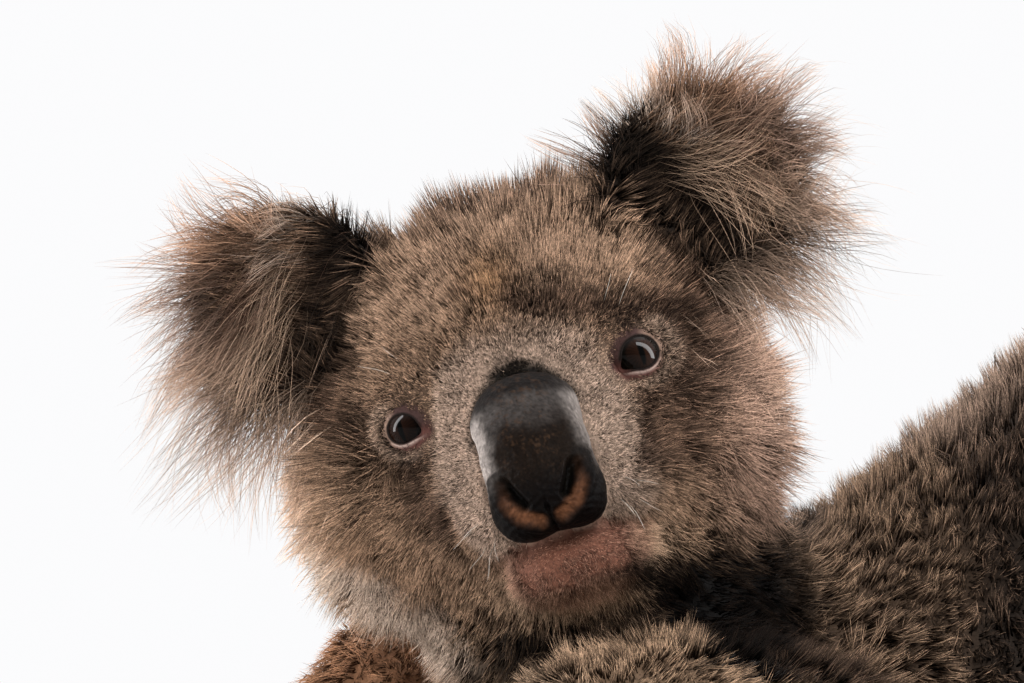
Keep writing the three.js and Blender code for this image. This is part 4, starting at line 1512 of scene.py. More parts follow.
# %% Claws
CLAW_VOXEL = 0.8 * MM
CLAW_ROUNDS = 10
CLAW_IN = 0.50
CLAW_OUT = 0.48
HORN_ROOT = np.array([0.055, 0.045, 0.038])
HORN_TIP = np.array([0.020, 0.016, 0.014])
horn = coat_finish("claw_horn", roughness=0.34, specular=0.5)
claws = {}
for limb in ("hand_left", "hand_right", "foot_left", "foot_right"):
    names = [n for n in sorted(nodes) if n.startswith("claw_" + limb)]
    pieces = []
    for n in names:
        claw_places, claw_faces = voxel_skin(*merged_solid(n, 0.0), CLAW_VOXEL)
        claw_table = neighbours_of(claw_faces, len(claw_places))
        claw_places = without_facets(claw_places, claw_table, CLAW_ROUNDS, CLAW_IN, CLAW_OUT)
        pieces.append((claw_places, claw_faces))
    claw_places, claw_faces, _ = joined(pieces)
    obj = mesh_object("claws_" + limb, claw_places, claw_faces)
    along = rise(claw_places[:, 2] / MM, 2, 12)[:, None]
    ring = (1 + 0.2 * cloud(claw_places, 1.5 * MM, 41))[:, None]
    colour_layer(obj, (HORN_TIP * (1 - along) + HORN_ROOT * along) * ring)
    obj.data.materials.append(horn)
    claws[limb] = (obj, names)
print("claws:", {k: len(v[1]) for k, v in claws.items()})

# %% [markdown]
# ## Tufts
# Particle hair would be lost when the model is passed on, so the coat is plain mesh. A node tree that
# scatters one tuft would give copies of a single shape, and here each tuft bends, leans on its
# neighbours and takes its colours from its own root, so the tufts are worked out as arrays. Short fur
# is made of fine closed needles of four faces. Longer fur is made of spindles of six: a root, a ring
# of three points and a tip, which leave the skin steeply and then bend over to lie with the coat. Each
# tuft also gets a tiny patch of a flat map, at its root's place on an unwrap of the skin, so that its
# colours can be baked.

# %% Scattering roots
rng = np.random.default_rng(11)
LOWEST_HAIR = 0.5 * MM
corner_places = skin_places[skin_faces]
face_cross = np.cross(corner_places[:, 1] - corner_places[:, 0], corner_places[:, 2] - corner_places[:, 0])
face_areas = np.linalg.norm(face_cross, axis=1) / 2 / MM**2


class Roots:
    """Random places on the skin, more of them where the weight is higher."""

    def __init__(self, weight, count):
        per_face = face_areas * np.maximum(weight, 0)[skin_faces].mean(axis=1)
        self.face = np.sort(rng.choice(len(per_face), count, p=per_face / per_face.sum()))
        u, v = rng.random(count), rng.random(count)
        over = u + v > 1
        u[over], v[over] = 1 - u[over], 1 - v[over]
        self.weights = np.stack([1 - u - v, u, v], axis=1)
        self.count = count
        self.places = self.read(skin_places)
        self.up = unit(self.read(skin_normal))
        self.lie = unit(self.read(lie))
        self.shares = self.read(shares)

    def read(self, values):
        corners = values[skin_faces[self.face]]
        if corners.ndim == 2:
            return (corners * self.weights).sum(axis=1)
        return (corners * self.weights[:, :, None]).sum(axis=1)


print("skin to grow on:", round(face_areas.sum() / 100), "cm2")

# %% Flat map of the skin
PATCH = 0.003  # share of the map's width
SEAM_ANGLE = math.radians(66)
SEAM_GAP = 0.004


def flat_map(chosen):
    """A flat unwrap of some faces of the skin, as three places for each of all its faces."""
    used, compact = np.unique(skin_faces[chosen], return_inverse=True)
    obj = mesh_object("to_unwrap", skin_places[used], compact.reshape(-1, 3))
    bpy.context.view_layer.objects.active = obj
    obj.select_set(True)
    bpy.ops.object.mode_set(mode="EDIT")
    bpy.ops.mesh.select_all(action="SELECT")
    bpy.ops.uv.smart_project(angle_limit=SEAM_ANGLE, island_margin=SEAM_GAP)
    bpy.ops.object.mode_set(mode="OBJECT")
    layer = obj.data.uv_layers.active.data
    flat_places = np.empty(len(layer) * 2)
    layer.foreach_get("uv", flat_places)
    table_of_all = np.zeros((len(skin_faces), 3, 2))
    table_of_all[chosen] = flat_places.reshape(-1, 3, 2)
    bpy.data.objects.remove(obj)
    return table_of_all


def map_places(roots, pattern):
    """The patch of each tuft: its points spread a little round its root's place."""
    table_of_all = flat_map(np.unique(roots.face))
    centre = (table_of_all[roots.face] * roots.weights[:, :, None]).sum(axis=1)
    centre = np.clip(centre, PATCH, 1 - PATCH)
    return centre[:, None, :] + np.asarray(pattern)[None] * PATCH / 2


def add_map(obj, places_of_points, faces):
    layer = obj.data.uv_layers.new(name="OFBake")
    places_of_points = places_of_points.reshape(-1, 2)
    layer.data.foreach_set("uv", places_of_points[faces.ravel()].astype(np.float32).ravel())

# %% Leaning together
def leaders_of(roots, share):
    """For each tuft the number of its nearest leader."""
    lead = np.flatnonzero(rng.random(roots.count) < share)
    tree = KDTree(len(lead))
    for i, p in enumerate(roots.places[lead]):
        tree.insert(p, i)
    tree.balance()
    return lead[np.array([tree.find(p)[1] for p in roots.places])]

# %% How tufts look
RING_SHARE = 0.42
SPINDLE_FACES = np.array([[0, 1, 2], [0, 2, 3], [0, 3, 1], [4, 2, 1], [4, 3, 2], [4, 1, 3]])
SPINDLE_PATTERN = [(0, -0.9), (-0.9, 0), (0.9, 0), (0, -0.2), (0, 0.9)]
NEEDLE_FACES = np.array([[0, 1, 2], [3, 1, 0], [3, 2, 1], [3, 0, 2]])
NEEDLE_PATTERN = [(-0.9, -0.9), (0.9, -0.9), (0, -0.3), (0, 0.9)]
ROOT_DEEP = 0.6  # mm under the skin
BRIGHTEST = 0.88
PALENESS = [0.52, 1.25, 2.5]  # most tufts are dim, some pale and a few very pale
PALENESS_SHARES = [0.55, 0.33, 0.12]
# How one kind of tuft stirs, leans together and varies in length and colour.
LOOK_PARTS = "width stir fine pull clump speckle relief blotch"
Look = namedtuple("Look", LOOK_PARTS, defaults=(0.12, 0.28))


def lit_up(colours, light):
    """Colours made lighter or darker, each no further than its own hue allows."""
    light = np.minimum(light, BRIGHTEST / colours.max(axis=1))
    return colours * light[:, None]


def tuft_shades(roots, look, count):
    """Root and tip colours of every tuft: a few are much paler than the rest."""
    root_now, tip_now = markings(roots.places, roots.shares)
    h = to_head(roots.places) * np.array([0.7, 1.0, 1.3])
    light = np.exp(look.speckle * rng.normal(size=count))
    light = light * (1 + look.blotch * (cloud(h, 6.0, 8) + 0.6 * cloud(h, 2.2, 9)))
    pale = rng.choice(PALENESS, count, p=PALENESS_SHARES)
    return root_now, lit_up(tip_now, np.clip(light, 0.12, 2.6) * pale)


print("faces of a spindle and a needle:", len(SPINDLE_FACES), len(NEEDLE_FACES))

# %% Growing tufts
LENGTHS = (0.72, 1.12)  # shares of the length that the skin asks for
LEANS = (0.65, 1.35)
WIDTHS = (0.7, 1.3)
ROOTS_APART = 0.3  # how much of the roots' distance is left between gathered tips
STEEPER = 1.5  # the lower part of a spindle, beside its upper part
MID_TINT = 0.4
FAR_TIPS = 0.78  # the wide tufts show more of their tips than the fine ones do


def grow_tufts(name, weight, count, look, bent=True):
    """One coat piece: a joined mesh of spindles or needles, with its colours and its flat map."""
    roots = Roots(weight, count)
    base, up = roots.places, roots.up
    size = roots.read(length) * MM * rng.uniform(*LENGTHS, count)
    size = size * (1 + look.relief * cloud(base, 7 * MM, 4) + 0.7 * look.relief * cloud(base, 3 * MM, 6))
    along = roots.lie + look.stir * cloud3(base, 9 * MM, 51) + look.fine * rng.normal(size=(count, 3))
    along = unit(along - up * dot(along, up))
    lean = (roots.read(lift) * rng.uniform(*LEANS, count))[:, None]
    tips = base + size[:, None] * (along * np.cos(lean) + up * np.sin(lean))
    leader = leaders_of(roots, look.clump)
    gathered = tips[leader] + (base - base[leader]) * ROOTS_APART
    tips = tips + (gathered - tips) * look.pull
    across = unit(np.cross(up, tips - base))
    thick = unit(np.cross(tips - base, across))
    half_wide = (roots.read(look.width) * MM * rng.uniform(*WIDTHS, count))[:, None] / 2
    root_now, tip_now = tuft_shades(roots, look, count)
    if bent:
        tip_now = tip_now * FAR_TIPS
        steep = lean * STEEPER
        ring = base + (size * RING_SHARE)[:, None] * (along * np.cos(steep) + up * np.sin(steep))
        corners = [base - up * ROOT_DEEP * MM, ring + across * half_wide, ring - across * half_wide]
        corners += [ring + thick * half_wide, tips]
        mid_now = root_now + (tip_now - root_now) * MID_TINT
        shades = [root_now, mid_now, mid_now, mid_now, tip_now]
        up_the_hair = [0, RING_SHARE, RING_SHARE, RING_SHARE, 1]
        pattern, flat_pattern = SPINDLE_FACES, SPINDLE_PATTERN
    else:
        foot = base - up * ROOT_DEEP * MM
        corners = [foot + across * half_wide, foot - across * half_wide, foot + thick * half_wide, tips]
        shades = [root_now, root_now, root_now, tip_now]
        up_the_hair = [0, 0, 0, 1]
        pattern, flat_pattern = NEEDLE_FACES, NEEDLE_PATTERN
    points = np.stack(corners, axis=1)
    points[:, :, 2] = np.maximum(points[:, :, 2], LOWEST_HAIR)
    faces = (pattern[None] + len(corners) * np.arange(count)[:, None, None]).reshape(-1, 3)
    obj = mesh_object(name, points.reshape(-1, 3), faces)
    colour_layer(obj, np.stack(shades, axis=1).reshape(-1, 3), np.tile(up_the_hair, count))
    add_map(obj, map_places(roots, flat_pattern), faces)
    obj.data.materials.append(hair_finish)
    print(name, count, "tufts,", len(faces), "faces")
    return obj

# %% [markdown]
# ## The coat of the head and body
# Tufts are finest and closest on the face, where they are a few millimetres long and half a millimetre
# wide at the root. The shoulders and back have such fine needles only where the camera looks. The rest
# of the body has longer and wider spindles. Each piece has its own number of tufts, and a weight on the
# skin says where they go.

# %% Where the coat grows
HEAD_DENSER = 1.9  # in front, beside 1 behind
CHIN_THINNER = 0.1
# The lids have joined the skin since the first reading of these shares, so they are read again.
on_head = share_of(shares, ("head", "lower_jaw"))
on_flap = share_of(shares, "flap")
body = np.clip(1 - on_head - on_flap, 0, 1)
head_only = np.clip(on_head - on_flap, 0, 1)
paws = share_of(shares, ("hand", "foot"))
sole = paws * (1 - rise(skin_places[:, 2] / MM, 1.0, 5.0))
grows = (1 - sole) * (1 - under_lid)
grows = grows * rise(beyond_opening(skin_places), 1.2, 3.2)
grows = grows * rise(sp.from_nose + 40 * (1 - head_only), -0.8, 0.4)
chin_bare = chin_area(sp) * on_head
lip_gap = rise(-sp.z, 42, 45) * (1 - rise(-sp.z, 50, 52)) * (1 - rise(sp.side, 13, 18)) * on_head
front = rise(-sp.y, -58, -22)
head_weight = head_only * grows * (1 + HEAD_DENSER * front) * (1 - CHIN_THINNER * chin_bare) * (1 - lip_gap)
print("head area:", round((face_areas * (head_weight > 0.1)[skin_faces].mean(axis=1)).sum()), "mm2")

# %% Near the lens
# The body's fine coat grows where the camera sees it close, and fades out past the edges of the view.
FINE_BEHIND = 0.35  # metres behind the head
FADE_ACROSS = (172, 235)  # mm from the middle of the view
FADE_UP = (116, 175)
toward_lens = skin_places @ camera_back > HEAD_ORIGIN @ camera_back - FINE_BEHIND
to_lens = (skin_normal @ camera_back > -0.25) & toward_lens
beside = np.abs((skin_places - aim) @ camera_right) / MM
above_below = np.abs((skin_places - aim) @ camera_up) / MM
near_lens = to_lens * (1 - rise(beside, *FADE_ACROSS)) * (1 - rise(above_below, *FADE_UP))
near_head = 1 - rise(np.linalg.norm(skin_places - head_middle, axis=1) / MM, 130, 270)
print("points near the lens:", int((near_lens > 0.5).sum()))

# %% Coat of the head
NEEDLES_A_PIECE = 49000
CROWN_NEEDLES = 31000
near_nose = 1 - rise(sp.from_nose, 20, 50)
head_width = 0.56 - 0.16 * near_nose * front + 0.14 * (1 - front)
head_width = head_width * (1 - 0.45 * chin_bare)
face_look = Look(
    head_width, stir=0.85, fine=0.80, pull=0.45, clump=0.14, speckle=0.68, relief=0.46, blotch=0.50
)
in_front = rise(-sp.y, -34, -26)
coat_face = grow_tufts("coat_face", in_front * head_weight, NEEDLES_A_PIECE, face_look, bent=False)
coat_face_over = grow_tufts("coat_face_over", in_front * head_weight, NEEDLES_A_PIECE, face_look, bent=False)
coat_crown = grow_tufts("coat_crown", (1 - in_front) * head_weight, CROWN_NEEDLES, face_look, bent=False)

# %% Coat of the body
FAR_TUFTS = 30000
PLUSH_WIDE = 0.46
plush_look = Look(
    np.full(len(skin_places), PLUSH_WIDE),
    stir=1.0, fine=0.60, pull=0.62, clump=0.07, speckle=0.50, relief=0.50, blotch=0.62,
)
plush_weight = body * grows * near_lens
coat_shoulders = grow_tufts("coat_shoulders", plush_weight, NEEDLES_A_PIECE, plush_look, bent=False)
body_width = 1.6 - 0.7 * near_head - 0.8 * paws
body_look = Look(body_width, stir=0.45, fine=0.30, pull=0.50, clump=0.10, speckle=0.34, relief=0.2)
body_weight = body * grows * (0.25 + 0.5 * near_head + 0.4 * paws) * (1 - near_lens)
behind = rise(skin_places[:, 1], 0.02, 0.06)
coat_back = grow_tufts("coat_back", body_weight * behind, FAR_TUFTS, body_look)
coat_front = grow_tufts("coat_front", body_weight * (1 - behind), FAR_TUFTS, body_look)

# %% [markdown]
# ## Long hair of the ears
# The ears wear the longest and untidiest hair. A short dark undercoat fills the cup, a loose coat
# fans out over the rim, a few long pale wisps cross it, and stray hairs stand out past it. Soft hair
# also hangs from the side of the head and closes the gap below each ear. Each hair is a closed strand
# of three sides whose direction bends and waves along its length, and neighbouring strands are drawn
# together towards their tips.

# %% Faces and map of a strand
THIRDS = (0, 2.094, 4.189)  # of a turn, for the three sides


def strand_faces(joints):
    """Faces of one closed strand: a root, rings of three points, and a tip."""
    faces = []
    for c in range(3):
        d = (c + 1) % 3
        faces.append((0, 1 + d, 1 + c))
        for r in range(joints - 1):
            a, b = 1 + 3 * r + c, 1 + 3 * r + d
            faces += [(a, b, b + 3), (a, b + 3, a + 3)]
        last = 1 + 3 * (joints - 1)
        faces.append((last + c, last + d, 1 + 3 * joints))
    return np.array(faces)


def strand_pattern(joints):
    """Where the points of a strand lie in its patch of the flat map."""
    rows = np.linspace(-0.9, 0.9, joints + 2)
    pattern = [(0, rows[0])]
    for k in range(1, joints + 1):
        pattern += [(-0.9, rows[k]), (0.9, rows[k]), (0, rows[k])]
    return pattern + [(0, rows[-1])]


print("faces of a strand with six joints:", len(strand_faces(6)))

# %% Strands
def strands(base, start, sweep, sag, size, half_wide, curl, leader, pull, joints):
    """Vertices of many strands: (count, 3 * joints + 2, 3). Leaders pass their bends on."""
    count = len(base)
    bend = rng.normal(size=(count, 3))
    bend = (0.75 * bend[leader] + 0.45 * bend) * curl[:, None]
    side_way = unit(np.cross(sweep, rng.normal(size=(count, 3))))
    phase = rng.uniform(0, 2 * math.pi, count)
    turns = rng.uniform(0.5, 1.3, count)
    spine = [base]
    for k in range(joints + 1):
        t = (k + 0.5) / (joints + 1)
        wave = 0.7 * curl * np.sin(phase + turns * 2 * math.pi * t)
        early = (1 - t) ** 1.4
        way = start * early + sweep * (1 - early) + bend * t + DOWN * (sag * t**1.5)[:, None]
        way = unit(way + wave[:, None] * side_way)
        spine.append(spine[-1] + way * (size / (joints + 1))[:, None])
    spine = np.stack(spine, axis=1)
    t = np.linspace(0, 1, joints + 2)[None, :, None]
    gathered = spine[leader] + (base - base[leader])[:, None, :] * (1 - 0.75 * t)
    spine = spine + (gathered - spine) * (pull[:, None, None] * t**0.8)
    along = unit(spine[:, -1] - spine[:, 0])
    across = unit(np.cross(along, rng.normal(size=(count, 3))))
    thick = np.cross(along, across)
    vertices = [spine[:, :1]]
    for k in range(1, joints + 1):
        taper = (1 - (k - 0.6) / (joints + 0.9)) ** 0.7
        for angle in THIRDS:
            out_way = across * math.cos(angle) + thick * math.sin(angle)
            vertices.append((spine[:, k] + out_way * (half_wide * taper)[:, None])[:, None])
    vertices.append(spine[:, -1:])
    return np.concatenate(vertices, axis=1)

# %% Colours and objects of strands
# How far up the hair a strand's root counts, so long hair gets less of the painted shade at its root.
STRAND_ROOT_LIGHT = 0.45


def strand_arrays(vertices, root_now, tip_now, joints):
    """Points, faces and colours of strands, ready to be joined with others."""
    n = vertices.shape[1]
    faces = strand_faces(joints)[None] + n * np.arange(len(vertices))[:, None, None]
    shade, along = [root_now], [STRAND_ROOT_LIGHT]
    for k in range(1, joints + 1):
        share = min(1.0, 1.25 * k / (joints + 1))
        shade += [root_now + (tip_now - root_now) * share] * 3
        along += [STRAND_ROOT_LIGHT + (1 - STRAND_ROOT_LIGHT) * share] * 3
    shade.append(tip_now)
    along.append(1.0)
    colours = np.stack(shade, axis=1).reshape(-1, 3)
    return vertices.reshape(-1, 3), faces.reshape(-1, 3), colours, np.tile(along, len(vertices))


def strand_object(name, parts):
    """One piece from several kinds of strands: (arrays, roots, joints) each."""
    flat = [map_places(roots, strand_pattern(joints)).reshape(-1, 2) for _, roots, joints in parts]
    points, faces, _ = joined([arrays[:2] for arrays, _, _ in parts])
    obj = mesh_object(name, points, faces)
    colours = np.concatenate([arrays[2] for arrays, _, _ in parts])
    colour_layer(obj, colours, np.concatenate([arrays[3] for arrays, _, _ in parts]))
    add_map(obj, np.concatenate(flat), faces)
    obj.data.materials.append(long_hair_finish)
    print(name, sum(p[1].count for p in parts), "strands,", len(faces), "faces")
    return obj

# %% Places on the ears
# outward and up from each ear's middle, in mm
EAR_SWEEP_FROM = {1: np.array([-18.0, 0.0]), -1: np.array([-50.0, 20.0])}
HOLLOW_AT = {1: -19.0, -1: -23.0}


def ear_places(points, side):
    """Outward and upward place on the ear in mm, and how far out it is, with 1 at the rim."""
    o_axis, u_axis, _ = ear_axes(side)
    rel = to_head(points) - EAR_CENTRE[side]
    a, b = rel @ o_axis, rel @ u_axis
    return a, b, np.hypot(a / EAR_ACROSS, b / EAR_TALL)


def beyond_hollow(side, a, b):
    """Distance outwards and up from the line of the dark, shaded hollow beside the head."""
    return 0.835 * (a - HOLLOW_AT[side]) + 0.551 * (b - 20)


print("the left ear's middle is past its hollow by", round(beyond_hollow(1, 0, 0), 1), "mm")

# %% Colours of ear hair
EAR_TIPS = {1: [0.25, 0.150, 0.105], -1: [0.165, 0.094, 0.064]}


def ear_tints(kind, side, a, b, reach, inside):
    """Root and tip colours of ear hair by the place that its middle reaches."""
    count = len(a)
    root_now = np.tile([0.020, 0.011, 0.008], (count, 1))
    tip_now = np.tile(EAR_TIPS[side], (count, 1))
    top = rise(b, 20, 36)
    low = rise(-b, -8, 16)
    edge = rise(np.hypot(a / EAR_ACROSS, b / EAR_TALL), 0.9, 1.25)
    tan = np.clip(low * 0.9 + 0.35 * inside * rise(-a, -26, 6), 0, 1)
    tip_now = blend(tip_now, tan * (0.6 + 0.4 * rng.random(count)), (0.95, 0.665, 0.475))
    root_now = blend(root_now, tan * 0.8, (0.36, 0.25, 0.18))
    tip_now = blend(tip_now, edge * 0.6, (0.62, 0.43, 0.33))
    tip_now = blend(tip_now, top * 0.75, (0.50, 0.28, 0.165))
    grey = rise(b, 8, 24) * (1 - rise(reach, 18, 32)) * rise(reach, 2, 8)
    tip_now = blend(tip_now, grey * 0.8, (0.85, 0.66, 0.53))
    root_now = blend(root_now, grey * 0.6, (0.15, 0.115, 0.09))
    if kind == "under":
        tip_now = tip_now * 0.7
    if kind in ("wisps", "stray"):
        tip_now = blend(tip_now, 0.3 + 0.6 * rng.random(count), (0.80, 0.545, 0.37))
        root_now = blend(root_now, 0.6 * np.ones(count), (0.20, 0.135, 0.09))
    return root_now, tip_now


def darkened_by_hollow_shade(kind, root_now, tip_now, facing, b, reach):
    """The hair that grows in the hollow is darkened to near black: painted shade over its dark hair."""
    narrower = rise(b, 19, 27)
    # Painted shade on the hair in the hollow beside the head.
    black = rise(facing, -0.6, -0.1) * (1 - rise(reach, 9 - 7 * narrower, 17 - 8 * narrower))
    black = black * (1 - rise(-b, 22, 32)) * (kind in ("under", "coat"))
    tip_now = blend(tip_now, black * 0.95, (0.012, 0.008, 0.006))
    return blend(root_now, black, (0.003, 0.002, 0.002)), tip_now

# %% Where ear hair grows and sweeps
UPRIGHT = {1: 1.0, -1: 0.5}  # how much of the hair near the inner top stands up


def ear_weight(side, kind):
    """How thickly one kind of hair grows at each point of the skin."""
    opening = head_way(ear_axes(side)[2])
    flap = share_of(shares, "flap_left" if side > 0 else "flap_right")
    on_ear = rise(flap, 0.3, 0.8)
    a, b, rim = ear_places(skin_places, side)
    inside = rise(skin_normal @ opening, 0.0, 0.5)
    off_line = beyond_hollow(side, a, b)
    if kind == "wisps":
        narrow = (bump(a, -4, 6) * bump(b, 13, 6)) if side > 0 else (bump(off_line, 12, 4) * bump(b, 6, 14))
        return on_ear * inside * narrow
    if kind == "stray":
        return on_ear * rise(rim, 0.8, 0.98) * rise(a, 2, 20) * (1 - rise(b, 8, 24))
    weight = 0.35 + 1.3 * rise(rim, 0.62, 0.95) + 0.9 * inside + 0.7 * rise(-b, 4, 26)
    weight = on_ear * weight
    if kind == "coat":
        off_hollow = np.maximum(rise(off_line, 8, 15), rise(-b, 24, 32))
        weight = weight * (1 - 0.93 * inside * (1 - off_hollow))
    return weight


def ear_radial(side, kind, a, b, reach):
    """The way each hair sweeps over the ear, as outward and up: away from the head, as a fan."""
    count = len(a)
    radial = unit(np.stack([a, b], axis=1) - EAR_SWEEP_FROM[side])
    if kind == "wisps":
        middle_of_fan = -46.0 if side > 0 else -20 - 52 * rise(-b, -16, 6)
        fan = np.radians(middle_of_fan + 13 * rng.normal(size=count))
        radial = np.stack([np.cos(fan), np.sin(fan)], axis=1)
    if kind == "stray":
        radial = unit(radial + np.array([0.1, -0.3]) * rng.random((count, 1)))
    upright = (rise(b, 14, 30) * (1 - rise(reach, 18, 34)))[:, None] * (kind in ("under", "coat"))
    upright = upright * UPRIGHT[side]
    return unit(radial * (1 - 0.6 * upright) + np.array([-0.1, 1.0]) * 0.6 * upright)


def ear_lengths(side, kind, b, rim, reach, long, long_rim):
    """Lengths in mm: longest at the rim and below, and shorter at the inner top."""
    size = long + long_rim * rise(rim, 0.62, 0.95) - (3 - 3 * side) * rise(b, 8, 28)
    size = size - (4.5 * side if kind == "coat" else 0.0)
    size = size + ((10.0 - 2.0 * side) if kind == "coat" else 3.0) * rise(-b, 0, 26)
    return size * (1 - 0.45 * rise(b, 12, 26) * (1 - rise(reach, 12, 28)))

# %% Growing ear hair
LEADERS = {"under": 0.2, "coat": 0.04, "wisps": 0.10, "stray": 0.3}  # shares of all the strands
# (kind, number, joints, length mm, more at the rim, half width mm, curl)
EAR_KINDS = [
    ("under", 2700, 2, 12, 4, 0.16, 0.25),
    ("coat", 3900, 4, 28, 9, 0.110, 0.46),
    ("wisps", 110, 7, 50, 0, 0.075, 0.42),
    ("stray", 70, 7, 50, 0, 0.070, 0.50),
]


def ear_strands(side, kind, count, joints, long, long_rim, half_wide, curl):
    """All the strands of one kind on one ear, with their roots."""
    outward, up, opening = (head_way(v) for v in ear_axes(side))
    roots = Roots(ear_weight(side, kind), count)
    a, b, rim = ear_places(roots.places, side)
    reach = beyond_hollow(side, a, b)
    facing = roots.up @ opening
    inside = rise(facing, 0.0, 0.5)
    radial = ear_radial(side, kind, a, b, reach)
    sweep = radial[:, :1] * outward + radial[:, 1:] * up
    stir = 0.2 if kind == "wisps" else 0.5
    sweep = unit(sweep + stir * cloud3(roots.places, 9 * MM, 61) + 0.5 * stir * rng.normal(size=(count, 3)))
    spread = 0.6 * rng.random(count) * np.where(facing > 0, 1.0, -1.0)
    sweep = unit(sweep + opening * spread[:, None])
    start = unit(sweep * 0.6 + roots.up * 0.9 + 0.3 * rng.normal(size=(count, 3)))
    sag = rng.uniform(0.3, 1.0, count) * (0.25 + 0.75 * (1 - rise(b, 6, 28)))
    size = ear_lengths(side, kind, b, rim, reach, long, long_rim)
    shorter = inside * (1 - rise(reach, 8, 15)) * (kind == "under")
    size = size * rng.uniform(0.6, 1.25, count) * (1 - 0.35 * shorter)
    wide = half_wide * rng.uniform(0.7, 1.4, count)
    leader = leaders_of(roots, LEADERS[kind])
    pull = rng.uniform(0.35, 0.98, count) * (0.6 if kind == "under" else 1.0)
    curls = curl * rng.uniform(0.4, 1.4, count)
    vertices = strands(
        roots.places, start, sweep, sag, size * MM, wide * MM, curls, leader, pull, joints
    )
    reached_a = a + (sweep @ outward) * size * 0.55
    reached_b = b + (sweep @ up) * size * 0.55
    reached = beyond_hollow(side, reached_a, reached_b)
    root_now, tip_now = ear_tints(kind, side, reached_a, reached_b, reached, inside)
    root_now, tip_now = darkened_by_hollow_shade(kind, root_now, tip_now, facing, b, reach)
    light = np.exp(0.40 * rng.normal(size=count)) * (1 + 0.3 * cloud(roots.places, 6 * MM, 62))
    return strand_arrays(vertices, root_now, lit_up(tip_now, light), joints), roots, joints


print("strands on each ear:", sum(kind[1] for kind in EAR_KINDS))

# %% Hair below the ears
SKIRT_COUNT = 2300
SKIRT_JOINTS = 4
SKIRT_FAN = {1: -60, -1: -36}  # degrees from straight out, downwards
SKIRT_SPREAD = 14
SKIRT_ROOT = [0.20, 0.135, 0.095]
SKIRT_TIP = [0.86, 0.61, 0.45]


def skirt_strands(side):
    """Long soft hair that hangs from the side of the head and closes the gap below the ear."""
    n = SKIRT_COUNT
    weight = np.clip(on_head - on_flap, 0, 1) * bump(sp.side, 71, 8) * bump(sp.z, 4 + 2 * side, 14)
    weight = weight * (sp.x * side > 0) * (1 - rise(sp.y, 70, 95)) * rise(sp.y, 14, 30)
    roots = Roots(weight, n)
    fan = np.radians(SKIRT_FAN[side] + SKIRT_SPREAD * rng.normal(size=n))
    flow = np.stack([np.cos(fan) * side, np.full(n, -0.15), np.sin(fan)], axis=1)
    sweep = unit(head_way(flow) + 0.25 * cloud3(roots.places, 9 * MM, 63))
    start = unit(sweep + 0.5 * roots.up)
    size = rng.uniform(11 - side, 28 - 4 * side, n) * MM
    wide = rng.uniform(0.16, 0.34, n) * (1 - 0.25 * side) * MM
    sag = rng.uniform(0.1, 0.6, n)
    curls = rng.uniform(0.1, 0.4, n)
    leader = leaders_of(roots, 0.06)
    pull = rng.uniform(0.2, 0.8, n)
    vertices = strands(roots.places, start, sweep, sag, size, wide, curls, leader, pull, SKIRT_JOINTS)
    tip_now = lit_up(np.tile(SKIRT_TIP, (n, 1)), np.exp(0.4 * rng.normal(size=n)))
    return strand_arrays(vertices, np.tile(SKIRT_ROOT, (n, 1)), tip_now, SKIRT_JOINTS), roots, SKIRT_JOINTS

# %% The ears' pieces
FLAP_NEEDLES = 12000


def ear_hair(name, side):
    return strand_object(name, [ear_strands(side, *kind) for kind in EAR_KINDS] + [skirt_strands(side)])


ear_hair_left = ear_hair("ear_hair_left", 1)
ear_hair_right = ear_hair("ear_hair_right", -1)
flap_weight = rise(on_flap, 0.3, 0.7)
flap_look = Look(np.full(len(skin_places), 0.7), stir=0.4, fine=0.2, pull=0.4, clump=0.1, speckle=0.3)
coat_flaps = grow_tufts("coat_flaps", flap_weight, FLAP_NEEDLES, flap_look, bent=False)

# %% [markdown]
# ## Whiskers
# A koala has few whiskers: some thin pale ones stand by the corners of its mouth, and two stand out
# over each eye. They are the same closed strands, placed one by one.

# %% Places of the whiskers
WHISKER_JOINTS = 6
# (side and height on the face, way out and up, length), all in mm and for the left of the face
WHISKERS = [
    ((23, -45), (5, -12), 14),
    ((25, -43), (7, -11), 13),
    ((21, -42), (6, -12), 11),
    ((27, -38), (10, -9), 12),
    ((24, -36), (10, -7), 10),
    ((38, 17), (12, 9), 16),
    ((34, 20), (9, 12), 12),
]


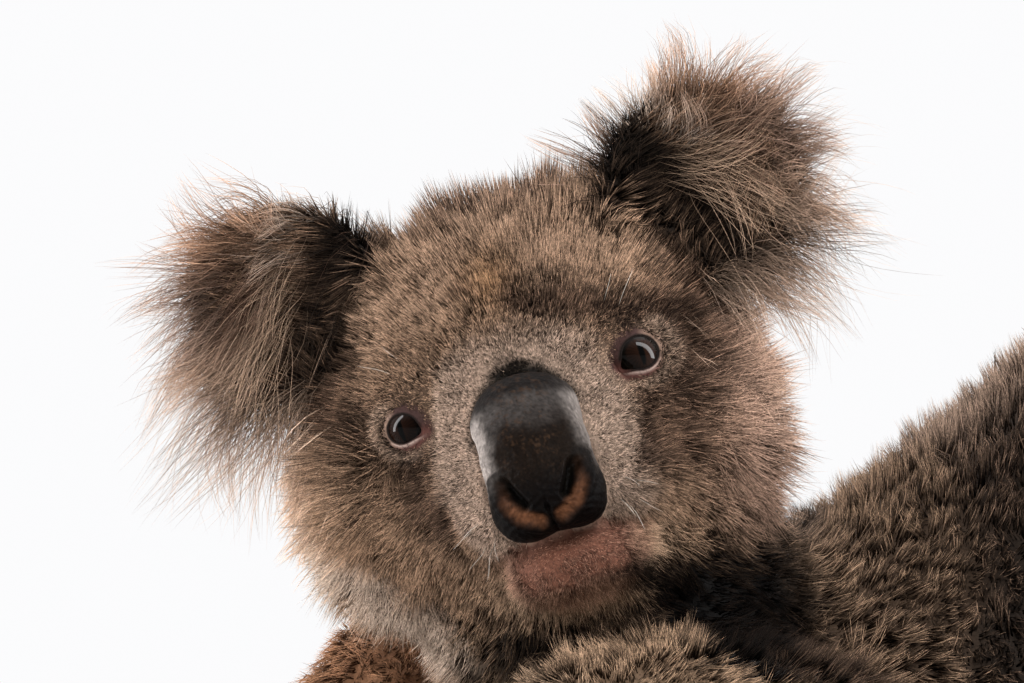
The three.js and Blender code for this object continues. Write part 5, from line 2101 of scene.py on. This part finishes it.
def roots_at(spots):
    """Roots at chosen places of the face, found on the skin by rays from the front."""
    hits = []
    for x, z in spots:
        start = from_head(np.array([[x, -90.0, z]]))[0]
        hits.append(skin_tree.ray_cast(Vector(start), Vector(head_way([0, 1.0, 0]))))
    places, up, face, _ = (np.array(column) for column in zip(*hits))
    weights = np.full((len(spots), 3), 1 / 3)
    return SimpleNamespace(places=places, up=up, face=face, weights=weights, count=len(spots))


print(len(WHISKERS), "whiskers on each side")

# %% Whiskers in place
WHISKER_SAG = 0.2
WHISKER_HALF_WIDE = 0.11 * MM
WHISKER_CURL = 0.25
WHISKER_ROOT = [0.45, 0.38, 0.30]
WHISKER_TIP = [0.88, 0.82, 0.74]
spots, whisker_ways, sizes_mm = [], [], []
for side in (1, -1):
    for (x, z), (out_way, up_way), long in WHISKERS:
        spots.append((x * side, z))
        whisker_ways.append(unit(np.array([out_way * side, -3.0, up_way])))
        sizes_mm.append(long)
spots = roots_at(spots)
whisker_ways = head_way(np.array(whisker_ways))
count = spots.count
whisker_points = strands(
    spots.places - spots.up * MM,
    unit(whisker_ways + 0.6 * spots.up),
    whisker_ways,
    np.full(count, WHISKER_SAG),
    np.array(sizes_mm) * MM,
    np.full(count, WHISKER_HALF_WIDE),
    np.full(count, WHISKER_CURL),
    np.arange(count),
    np.zeros(count),
    WHISKER_JOINTS,
)
pale_root = np.tile(WHISKER_ROOT, (count, 1))
pale_tip = np.tile(WHISKER_TIP, (count, 1))
whisker_arrays = strand_arrays(whisker_points, pale_root, pale_tip, WHISKER_JOINTS)
whiskers = strand_object("whiskers", [(whisker_arrays, spots, WHISKER_JOINTS)])

# %% [markdown]
# ## Riding and replacing
# The animal is still, so every piece rides on its one body. The skin stands for all the flesh
# solids, and the eyeballs, nose and claws for their own.

# %% Ride and replace
coats = [coat_face, coat_face_over, coat_crown, coat_shoulders, coat_back, coat_front, coat_flaps]
coats += [ear_hair_left, ear_hair_right, whiskers]
pieces = [skin, nose] + eyeballs + coats + [c[0] for c in claws.values()]
for piece in pieces:
    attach(piece, "root")
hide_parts(*FLESH, "ear_left", "ear_right")
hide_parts("nose")
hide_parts("eye_left")
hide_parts("eye_right")
for obj, names in claws.values():
    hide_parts(*names)
print(len(pieces), "pieces,", sum(len(p.data.polygons) for p in pieces), "faces")
